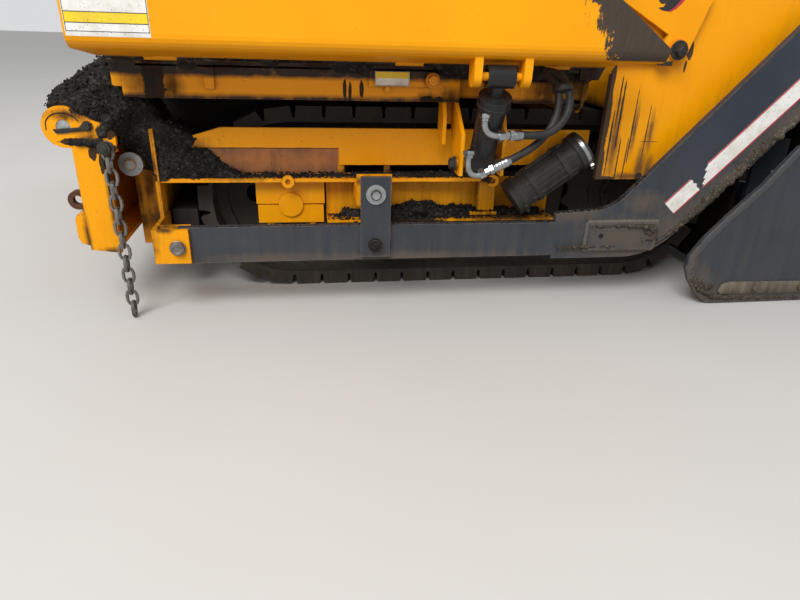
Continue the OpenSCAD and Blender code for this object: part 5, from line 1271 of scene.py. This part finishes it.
# Rubber boots and knobs of the four levers
for name, rings, material in (("lever_boots", mm("30 0, 30 4, 24 8, 26 14, 18 20, 20 26, 12 32, 9 36"),
        hose_rubber), ("lever_knobs", mm("8 68, 13 72, 18.5 84, 19.5 96, 15 108, 6 112.5"), black_plastic)):
    made = [stood("part", rings, (0.938, y, 1.415), (0.094, 0, 0.995)) for y in (-0.18, -0.12, 0.12, 0.18)]
    finished(joined(name, made), material, smooth=60)
# Console's hood over the panel, hand rail, and bolts down its front
finished(cut_plate("console_visor", mm("850 -334 1498, 850 -334 1506, 880 -334 1512, 882 -334 1507"),
    (0, 0.668, 0), 1.0), drive_enamel)
finished(tube("console_rail", mm("846 -300 1440, 812 -300 1470, 800 -285 1500, 800 -150 1510, 800 150 1510, "
    "800 285 1500, 812 300 1470, 846 300 1440"), 0.011), zinc)
finished(bolts("console_bolts", [(0.928, y, z) for y in (-0.13, 0.13) for z in (1.09, 1.22, 1.35)], 0.013,
    0.006, along=AFT, washer=0.01), bolt_zinc)
finished(box("console_door", (0.9275, -0.11, 1.085), (0.9305, 0.11, 1.355), 1.4), drive_enamel)
finished(stood("console_latch", mm("16 0, 16 4, 12 6, 8 6.5"), (0.93, 0.085, 1.22), AFT), bolt_zinc)

# Deck: raised tread bars round the seats' pedestals, and a kick strip


def tread(name, half_long, half_wide, tall, places):
    """Raised bars laid crosswise by turns, at (column, row, x, y, z)."""
    seed = box("bar", (-half_long, -half_wide, 0), (half_long, half_wide, tall), 1.0, 1)
    bars = [copied(seed, "bar",
        Matrix.Translation(place) @ Matrix.Rotation(math.radians(45 if (column + row) % 2 else -45), 4, "Z"))
        for column, row, *place in places]
    bpy.data.objects.remove(seed)
    return joined(name, bars)


deck_places = [(column, row, 0.945 + 0.026 * column, -0.93 + 0.03 * row, 1.0499) for column in range(12)
    for row in range(63)]
finished(tread("deck_tread", 0.014, 0.0028, 0.0016,
    [place for place in deck_places if not (0.995 < place[2] < 1.185 and 0.465 < abs(place[3]) < 0.655)]),
    wear_iron, smooth=20, slot="paint_yellow")
pair(box("deck_kick_strip", (1.004, -0.9645, 1.044), (1.246, -0.9595, 1.074), 1.5), body_enamel)

# Grab rails' flanges and their bolts, and foam grips
for name, x in (("front", 0.96), ("rear", 1.21)):
    pair(stood("rail_flange_" + name, mm("34 0, 34 6, 20 8, 17.5 14"), (x, -0.935, 1.0501)), body_enamel)
    pair(bolts("rail_bolts_" + name, [(x + 0.026 * math.cos(a), -0.935 + 0.026 * math.sin(a), 1.0555)
        for a in (0.8, 2.9, 5.0)], 0.01, 0.005, along=UP), bolt_zinc)
pair(stood("rail_grip", mm("18.5 0, 19.5 3, 19.5 157, 18.5 160"), (1.005, -0.935, 1.38), AFT, sides=28),
    hose_rubber, smooth=60)

# Engine hood: louvre blades in its slots, grille bars, latches and handle; they lift with it
blades = []
for number in range(7):
    x = 0.44 + 0.042 * number
    blades.append(cut_plate("blade", [(x - 0.002, -0.43, 1.147), (x + 0.0165, -0.43, 1.147),
        (x + 0.0165, -0.4335, 1.149), (x + 0.004, -0.44, 1.151), (x - 0.002, -0.44, 1.151)], (0, 0, 0.166)))
pair(joined("hood_louvres", blades), hood_enamel, "hood", 20)
grille = [cut_plate("bar", [(0.33, -0.3, z), (0.33, -0.3, z + 0.014), (0.3225, -0.3, z + 0.006),
    (0.3225, -0.3, z + 0.002)], (0, 0.6, 0)) for z in [1.116 + 0.038 * i for i in range(6)]]
finished(joined("hood_grille_bars", grille), hood_enamel, "hood", 20)
pair(joined("hood_latch", [box("base", (0.778, -0.437, 1.11), (0.812, -0.43, 1.19), 2),
    box("lever", (0.786, -0.447, 1.122), (0.804, -0.435, 1.168), 3)]), black_plastic, "hood")
finished(tube("hood_handle", mm("640 -100 1449, 640 -100 1470, 640 -94 1484, 640 -70 1488, 640 70 1488, "
    "640 94 1484, 640 100 1470, 640 100 1449"), 0.008), zinc, "hood")
HOOD_TOP = 1.45
for name, x in (("front", 0.42), ("rear", 0.78)):
    finished(box("hood_seam_" + name, (x - 0.014, -0.4285, HOOD_TOP - 0.0005),
        (x + 0.014, 0.4285, HOOD_TOP + 0.0025), 1.0), hood_enamel, "hood")
    finished(bolts("hood_screws_" + name,
        [(x, y, HOOD_TOP + 0.0025) for y in [-0.4 + 0.1 * i for i in range(9)]], 0.01, 0.004, along=UP,
        washer=0.008, washer_t=0.001), bolt_zinc, "hood")
# Blank films on the hood's sides
pair(sheet_on("hood_film", oblong(0.47, 0.7, 1.35, 1.392), 0.4301, 0.0005), black_film, "hood", 10)
pair(sheet_on("hood_film_stripe", oblong(0.47, 0.7, 1.34, 1.3465), 0.4301, 0.0005), red_film, "hood", 10)

# Silencer and stack: end bands, straps, weld seam and the rain cap on its hinge
SILENCER = 0.07
for name, z in (("low", 1.06), ("high", 1.366)):
    finished(stood("silencer_band_" + name, [(SILENCER, 0), (SILENCER + 0.003, 0.001),
        (SILENCER + 0.003, 0.013), (SILENCER, 0.014)], (0.5, -0.52, z), sides=48), heat_black)
finished(weld("silencer_seam", mm("500 -590.5 1075, 500 -590.5 1362"), 0.0022, pitch=0.005), rust, smooth=60)
strap = turned("strap", mm("70.5 0, 72.5 0.5, 72.5 21.5, 70.5 22"), 48)
straps = [copied(strap, "strap", Matrix.Translation((0.5, -0.52, z))) for z in (1.13, 1.28)]
bpy.data.objects.remove(strap)
straps += [put(hex_bolt(0.012, 0.006), aimed((0.56, -0.56, z), (0.83, -0.55, 0))) for z in (1.141, 1.291)]
finished(joined("silencer_straps", straps), bolt_zinc)
finished(stood("stack_clamp", mm("30 0, 34 1, 34 24, 30 25"), (0.5, -0.52, 1.424), sides=36), bolt_black,
    slot="rusty_steel")
cap = [stood("disc", mm("20 0, 36 0.5, 37.5 3, 30 6, 10 8"), (0.508, -0.52, 1.766), (-0.42, 0, 0.91),
    sides=32), box("hinge", (0.524, -0.53, 1.722), (0.54, -0.51, 1.756), 1.5),
    box("weight", (0.54, -0.526, 1.73), (0.562, -0.514, 1.748), 2)]
finished(joined("rain_cap", cap), heat_black)

# Tanks: caps with knurled rims, welded seams, sight gauge and inspection plates
for name, x, y, top, radius in (("fuel", 0.72, 0.7, 1.355, 0.04), ("hydraulic", 0.48, -0.7, 1.37, 0.028)):
    knurl = [turned("cap", [(radius * 1.12, 0), (radius * 1.18, 0.004), (radius * 1.18, 0.022),
        (radius * 1.1, 0.028), (radius * 0.4, 0.03)], 32)]
    knurl += [put(box("rib", (-0.0022, radius * 1.14, 0.004), (0.0022, radius * 1.23, 0.022), 0.6, 1),
        Matrix.Rotation(math.radians(18 * i), 4, "Z")) for i in range(20)]
    finished(put(joined(name + "_cap", knurl), Matrix.Translation((x, y, top - 0.006))), black_plastic)
    way = 1 if y > 0 else -1
    finished(joined(name + "_tank_seams", [weld("seam", [(x0, y0, 1.3195), (x1, y1, 1.3195)], 0.0028)
        for x0, y0, x1, y1 in ((0.4, way * 1.0805, 0.83, way * 1.0805),
        (0.3995, way * 0.62, 0.3995, way * 1.08), (0.8305, way * 0.62, 0.8305, way * 1.08))]), hood_enamel,
        smooth=60)
gauge = [box("frame", (0.83, -1.02, 1.09), (0.8385, -0.99, 1.29), 2)]
gauge += [put(hex_bolt(0.014, 0.008), aimed((0.838, -1.005, z), AFT)) for z in (1.102, 1.278)]
finished(joined("oil_gauge", gauge), bolt_zinc)
finished(box("oil_gauge_glass", (0.838, -1.0125, 1.115), (0.8405, -0.9975, 1.265), 1), yellow_film,
    slot="zinc_steel")
pair(bolts("tank_plate_bolts", [(0.615 + 0.075 * math.cos(a), -0.88 + 0.075 * math.sin(a), 1.3235)
    for a in [math.radians(30 * i) for i in range(12)]], 0.013, 0.006, along=UP), bolt_zinc)
pair(stood("tank_plate", mm("92 0, 92 2.5, 91 3.5, 30 3.6"), (0.615, -0.88, 1.3199), sides=48), hood_enamel)
# Work lights on stalks in front of the tanks
for part, material, slot_name in ((box("work_light", (0.25, -0.985, 1.13), (0.3, -0.875, 1.205), 8),
        black_plastic, "black_rubber"),
        (box("work_light_lens", (0.2475, -0.975, 1.14), (0.2515, -0.885, 1.195), 2), gauge_glass,
        "zinc_steel"), (tube("work_light_stalk", mm("276 -930 1050, 276 -930 1132"), 0.009), bolt_black,
        "paint_black")):
    pair(part, material, slot=slot_name)

# Screed: bolted covers, heater box and conduit with its clips
pair(joined("screed_covers", [box("cover", (1.148, -y1, 0.37), (1.272, -y0, 0.374), 1.5)
    for y0, y1 in mm("160 560, 620 980")]), screed_enamel, "screed")
pair(bolts("screed_cover_bolts", [(x, -y, 0.374) for y in (0.18, 0.36, 0.54, 0.64, 0.8, 0.96)
    for x in (1.16, 1.26)], 0.013, 0.006, along=UP, washer=0.01), bolt_black, "screed")
heater = [box("case", (1.15, -0.12, 0.37), (1.27, 0.12, 0.45), 5),
    box("lid", (1.146, -0.124, 0.444), (1.274, 0.124, 0.452), 3)]
finished(joined("heater_box", heater), screed_enamel, "screed")
finished(joined("heater_box_vents",
    [box("vent", (1.155 + 0.014 * i, -0.1225, 0.385), (1.162 + 0.014 * i, -0.1195, 0.43), 0.8)
    for i in range(8)]), black_plastic, "screed")
pair(tube("screed_conduit", mm("1121 -118 385, 1121 -300 386, 1121 -700 386, 1121 -970 386, 1124 -1010 383, "
    "1126 -1030 366"), 0.008), hose_rubber, "screed", 60)
pair(joined("conduit_clips", [box("clip", (1.109, -y - 0.008, 0.3698), (1.133, -y + 0.008, 0.3955), 2)
    for y in (0.2, 0.42, 0.64, 0.86)]), bolt_zinc, "screed")

# Screed extensions: bolted burner covers, stiffening ribs, worn sole edge, end cranks
pair(joined("extension_covers", [box("cover", (1.5048, -y1, 0.08), (1.509, -y0, 0.25), 2)
    for y0, y1 in mm("160 480, 720 1040")]), screed_enamel, "ext_left")
pair(bolts("extension_cover_bolts", [(1.509, -y, z) for y in (0.18, 0.32, 0.46, 0.74, 0.88, 1.02)
    for z in (0.095, 0.235)], 0.013, 0.006, along=AFT, washer=0.01), bolt_black, "ext_left")
pair(joined("extension_ribs",
    [cut_plate("rib", [(1.5045, -y, 0.045), (1.522, -y, 0.06), (1.522, -y, 0.262), (1.5045, -y, 0.29)],
    (0, -0.01, 0), 0.8) for y in (0.08, 0.59, 1.13, 1.2)]), screed_enamel, "ext_left")
pair(box("extension_sole", (1.345, -1.2462, 0.0015), (1.511, -0.02, 0.014), 1.5), wear_iron, "ext_left")
crank = [tube("crank", mm("1440 -1205 340, 1440 -1205 540"), 0.011),
    tube("arm", mm("1440 -1205 535, 1440 -1120 535"), 0.008), stood("nut", mm("20 0, 20 16, 14 18"),
    (1.44, -1.205, 0.34), sides=6), stood("collar", mm("24 0, 24 30, 20 34"), (1.44, -1.205, 0.43), sides=28)]
pair(joined("extension_crank", crank), bolt_zinc, "ext_left")
pair(stood("crank_knob", mm("10 0, 16 6, 17 40, 13 46, 4 48"), (1.44, -1.128, 0.538), sides=24), black_plastic,
    "ext_left")
pair(sheet_on("gate_film", oblong(1.25, 1.4, 0.3, 0.345), 1.2602, 0.0005), yellow_film, "ext_left", 10,
    slot="paint_dark")

# Walkboard: tread bars, worn edges, reflectors
finished(tread("walkboard_tread", 0.015, 0.003, 0.002,
    [(column, row, 1.335 + 0.031 * column, -1.12 + 0.0307 * row, 0.4079) for column in range(8)
    for row in range(74)]), wear_iron, "screed", 20)
edges = [box("edge", (1.32, y - 0.003, 0.4075), (1.585, y + 0.003, 0.4145), 1) for y in (-1.141, 1.141)]
finished(joined("walkboard_edges", edges + [box("edge", (1.5795, -1.1445, 0.4075), (1.5865, 1.1445, 0.4135),
    1)]), worn_steel, "screed")
pair(box("reflector", (1.5862, -1.12, 0.365), (1.5885, -1.01, 0.395), 1), lamp_red, "screed")

# Depth screws: rolled thread, lock nut, crank grip
helix = [(1.277 + 0.0148 * math.cos(math.radians(45 * i)), -1.115 + 0.0148 * math.sin(math.radians(45 * i)),
    0.45 + 0.007 * i / 8) for i in range(8 * 64)]
pair(tube("depth_screw_thread", helix, 0.0016, 4, straight=True), zinc, "screed", 60)
pair(put(joined("depth_screw_nuts", [turned("nut", mm("30 0, 30 22, 26 25"), 6),
    stood("nut", mm("30 0, 30 22, 26 25"), (0, 0, -0.1), sides=6)]),
    Matrix.Translation((1.277, -1.115, 0.9705))), bolt_zinc, "screed")
pair(stood("depth_screw_grip", mm("12 0, 16.5 4, 16.5 90, 13 96, 4 98"), (1.277, -0.972, 1.11), UP, sides=24),
    black_plastic, "screed")
# Tow arm: weld bead and bolts at its foot, bolts at its arch
pair(weld("arm_foot_weld", mm("1168 -1191.5 212, 1168 -1191.5 400"), 0.004, pitch=0.007), dark_weld, "screed",
    60)
pair(bolts("arm_foot_bolts", [(x, -1.1905, z) for x in (1.2, 1.262) for z in (0.23, 0.275)], 0.024, 0.011,
    washer=0.019), bolt_black, "screed")
pair(bolts("arm_arch_bolts", [(x, -1.1905, 0.91) for x in (1.04, 1.1, 1.16)], 0.022, 0.01, washer=0.018),
    bolt_black, "screed")

# Lift cylinders: pin bolts, and a hose from each barrel to the body's rear plate
pair(bolts("lift_pin_bolts", [(1.04, -1.0905, 1.0)], 0.022, 0.008, washer=0.019), bolt_black)
pair(bolts("lift_foot_bolts", [(1.152, -1.0865, 0.43)], 0.022, 0.008, washer=0.019), bolt_black, "screed")
LIFT_HOSE = mm("1098 1018 705, 1098 994 704, 1090 972 690, 1065 962 655, 1030 960 628, 1000.5 960 620")
for side, way in SIDES:
    line = smoothed([(x, way * y, z) for x, y, z in LIFT_HOSE])
    hose = finished(tube("lift_hose_" + side, line, 0.0085, 12, straight=True), hose_rubber, None, 60)
    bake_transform(hose)
pair(stood("lift_port", mm("14 0, 14 14, 11 16, 11 26"), (1.098, -1.022, 0.705), RIGHT, sides=6), bolt_zinc,
    "lift_barrels")
pair(stood("lift_bulkhead_port", mm("15 0, 15 10, 11.5 12, 11.5 24"), (1.0, -0.96, 0.62), AFT, sides=6),
    bolt_zinc)

# Body's rear plate: tool locker, valve block with its hoses, blank plate and tail lamps
locker = [box("case", (1.0, -0.86, 0.7), (1.07, -0.42, 0.93), 5),
    box("lid", (1.065, -0.866, 0.694), (1.074, -0.414, 0.936), 3)]
finished(joined("tool_locker", locker), body_enamel)
finished(joined("locker_hardware", [box("hinge", (1.07, y - 0.02, 0.932), (1.079, y + 0.02, 0.944), 1.5)
    for y in (-0.76, -0.52)] + [box("hasp", (1.0735, -0.655, 0.69), (1.08, -0.625, 0.74), 1.5)]), bolt_zinc)
finished(box("valve_block", (1.0, 0.38, 0.74), (1.06, 0.7, 0.84), 3), bolt_black, slot="paint_black")
VALVES = [0.42 + 0.06 * i for i in range(5)]
solenoids = [stood("solenoid", mm("18 0, 20 3, 20 40, 17 43, 8 44, 8 52"), (1.03, y, 0.84), UP, sides=24)
    for y in VALVES]
finished(joined("valve_solenoids", solenoids), black_plastic)
finished(joined("valve_ports", [stood("port", mm("14 0, 14 14, 11 16, 11 26"), (1.03, y, 0.741), (0, 0, -1),
    sides=6) for y in VALVES]), bolt_zinc)
for number, y in enumerate(VALVES, 1):
    line = smoothed([(1.03, y, 0.718), (1.032, y, 0.69), (1.036, y * 0.96, 0.64), (1.032, y * 0.88, 0.59),
        (1.022, y * 0.8, 0.56), (1.0, y * 0.76, 0.552)])
    finished(tube("valve_hose_%d" % number, line, 0.0085, 12, straight=True), hose_rubber, smooth=60)
finished(box("rear_plate", (0.9998, 0.08, 0.93), (1.0015, 0.24, 1.0), 0.6), zinc, smooth=20)
pair(box("tail_lamp", (1.22, -0.94, 0.992), (1.248, -0.83, 1.0378), 4), black_plastic)
pair(box("tail_lamp_lens", (1.247, -0.934, 0.998), (1.252, -0.836, 1.03), 2), lamp_red)

# Auger drive: motor and its hoses on the centre post, bearing bolts at the ends
finished(stood("motor", mm("50 0, 55 4, 55 30, 44 36, 44 110, 40 116, 20 117"), (0.905, 0.045, 0.4), RIGHT),
    black_enamel)
finished(bolts("auger_post_bolts", [(0.875, -0.0455, z) for z in (0.19, 0.29, 0.43)] + [(0.935, -0.0455, z)
    for z in (0.19, 0.29, 0.43)], 0.02, 0.009, washer=0.016), bolt_black)
pair(bolts("auger_bearing_bolts", [(0.905 + 0.026 * way, -1.0131, z) for way in (-1, 1) for z in (0.2, 0.27)],
    0.018, 0.009, washer=0.015), bolt_black)
for number, z in ((1, 0.425), (2, 0.385)):
    line = smoothed([(0.905, 0.155, z), (0.912, 0.185, z + 0.004), (0.935, 0.205, z + 0.03),
        (0.965, 0.208, z + 0.075), (0.989, 0.208, z + 0.085)])
    finished(tube("motor_hose_%d" % number, line, 0.009, 12, straight=True), hose_rubber, smooth=60)

# Final drive's bolt ring behind each side plate
pair(bolts("final_drive_bolts", [(0.413 + 0.064 * math.cos(a), -0.8881, 0.325 + 0.064 * math.sin(a))
    for a in [math.radians(45 * i) for i in range(8)]], 0.018, 0.009), bolt_black)

# Hopper: slats of the two feeder bands in its floor
slats = [box("slat", (x, way * 0.035 if way > 0 else -0.455, 0.7905), (x + 0.024, 0.455 if way > 0 else -0.035,
    0.808), 2) for x in [-1.3 + 0.125 * i for i in range(12)] for way in (-1, 1)]
finished(joined("feeder_slats", slats), wear_iron, "hopper")

# Scraper plate that hangs before each track, black with mix and with painted shade, in the same near-black finish as
# the frame plates, darkening the shaded gap before the track
pair(box("track_scraper", (-1.3, -0.965, 0.115), (-1.214, -0.655, 0.3), 4), asphalt_and_shade_enamel)


# Floor: pale matt concrete colour, nearly even
FLOOR_SIZE = 80
floor_material, tree = empty_material("pale_floor")
place = node(tree, "TexCoord", output="Object")
cloud = node(tree, "TexNoise", (place, 1.3, 6))
cloud = node(tree, "Mix", (cloud, srgb("#C7C4BF"), srgb("#CFCCC7")))
# What the camera and mirrors see is pale; what lights the underside is as grey as gravel
path = node(tree, "LightPath").node.outputs
seen = node(tree, "Math", (path["Is Camera Ray"], path["Is Glossy Ray"]), operation="MAXIMUM")
seen = node(tree, "Math", (seen, path["Is Transmission Ray"]), operation="MAXIMUM")
cloud = node(tree, "Mix", (seen, srgb("#9E9993"), cloud))
plain = node(tree, "BsdfPrincipled", {"Base Color": cloud, "Roughness": 0.85})
node(tree, "OutputMaterial", {"Surface": plain})
deselect_all(action="DESELECT")
bpy.ops.mesh.primitive_plane_add(size=FLOOR_SIZE)
floor = bpy.context.object
floor.name = "floor"
floor.data.materials.append(floor_material)

# Sky: soft white light all round; camera and mirrors see the same pale background
world = bpy.data.worlds.new("overcast")
bpy.context.scene.world = world
world.use_nodes = True
tree = world.node_tree
tree.nodes.clear()
path = node(tree, "LightPath").node.outputs
seen = node(tree, "Math", (path["Is Camera Ray"], path["Is Glossy Ray"]), operation="MAXIMUM")
sky = node(tree, "Background", {"Color": srgb("#EDF1F5"), "Strength": 0.66})
backdrop = node(tree, "Background", {"Color": srgb("#E4E5E6"), "Strength": 0.9})
node(tree, "OutputWorld", {"Surface": node(tree, "MixShader", (seen, sky, backdrop))})

# One large soft lamp high on the left, and a weaker one opposite, both turned to the machine's middle
LIGHT_AIM = Vector((0.0, 0.0, 0.6))
for name, spot, size, power in (("key", (-3.2, -6.2, 6.4), 4.5, 640), ("fill", (5.0, 6.5, 6.0), 6.0, 260)):
    deselect_all(action="DESELECT")
    bpy.ops.object.light_add(type="AREA", location=spot)
    lamp = bpy.context.object
    lamp.name = name
    lamp.data.size = size
    lamp.data.energy = power
    lamp.rotation_euler = (LIGHT_AIM - Vector(spot)).to_track_quat("-Z", "Y").to_euler()
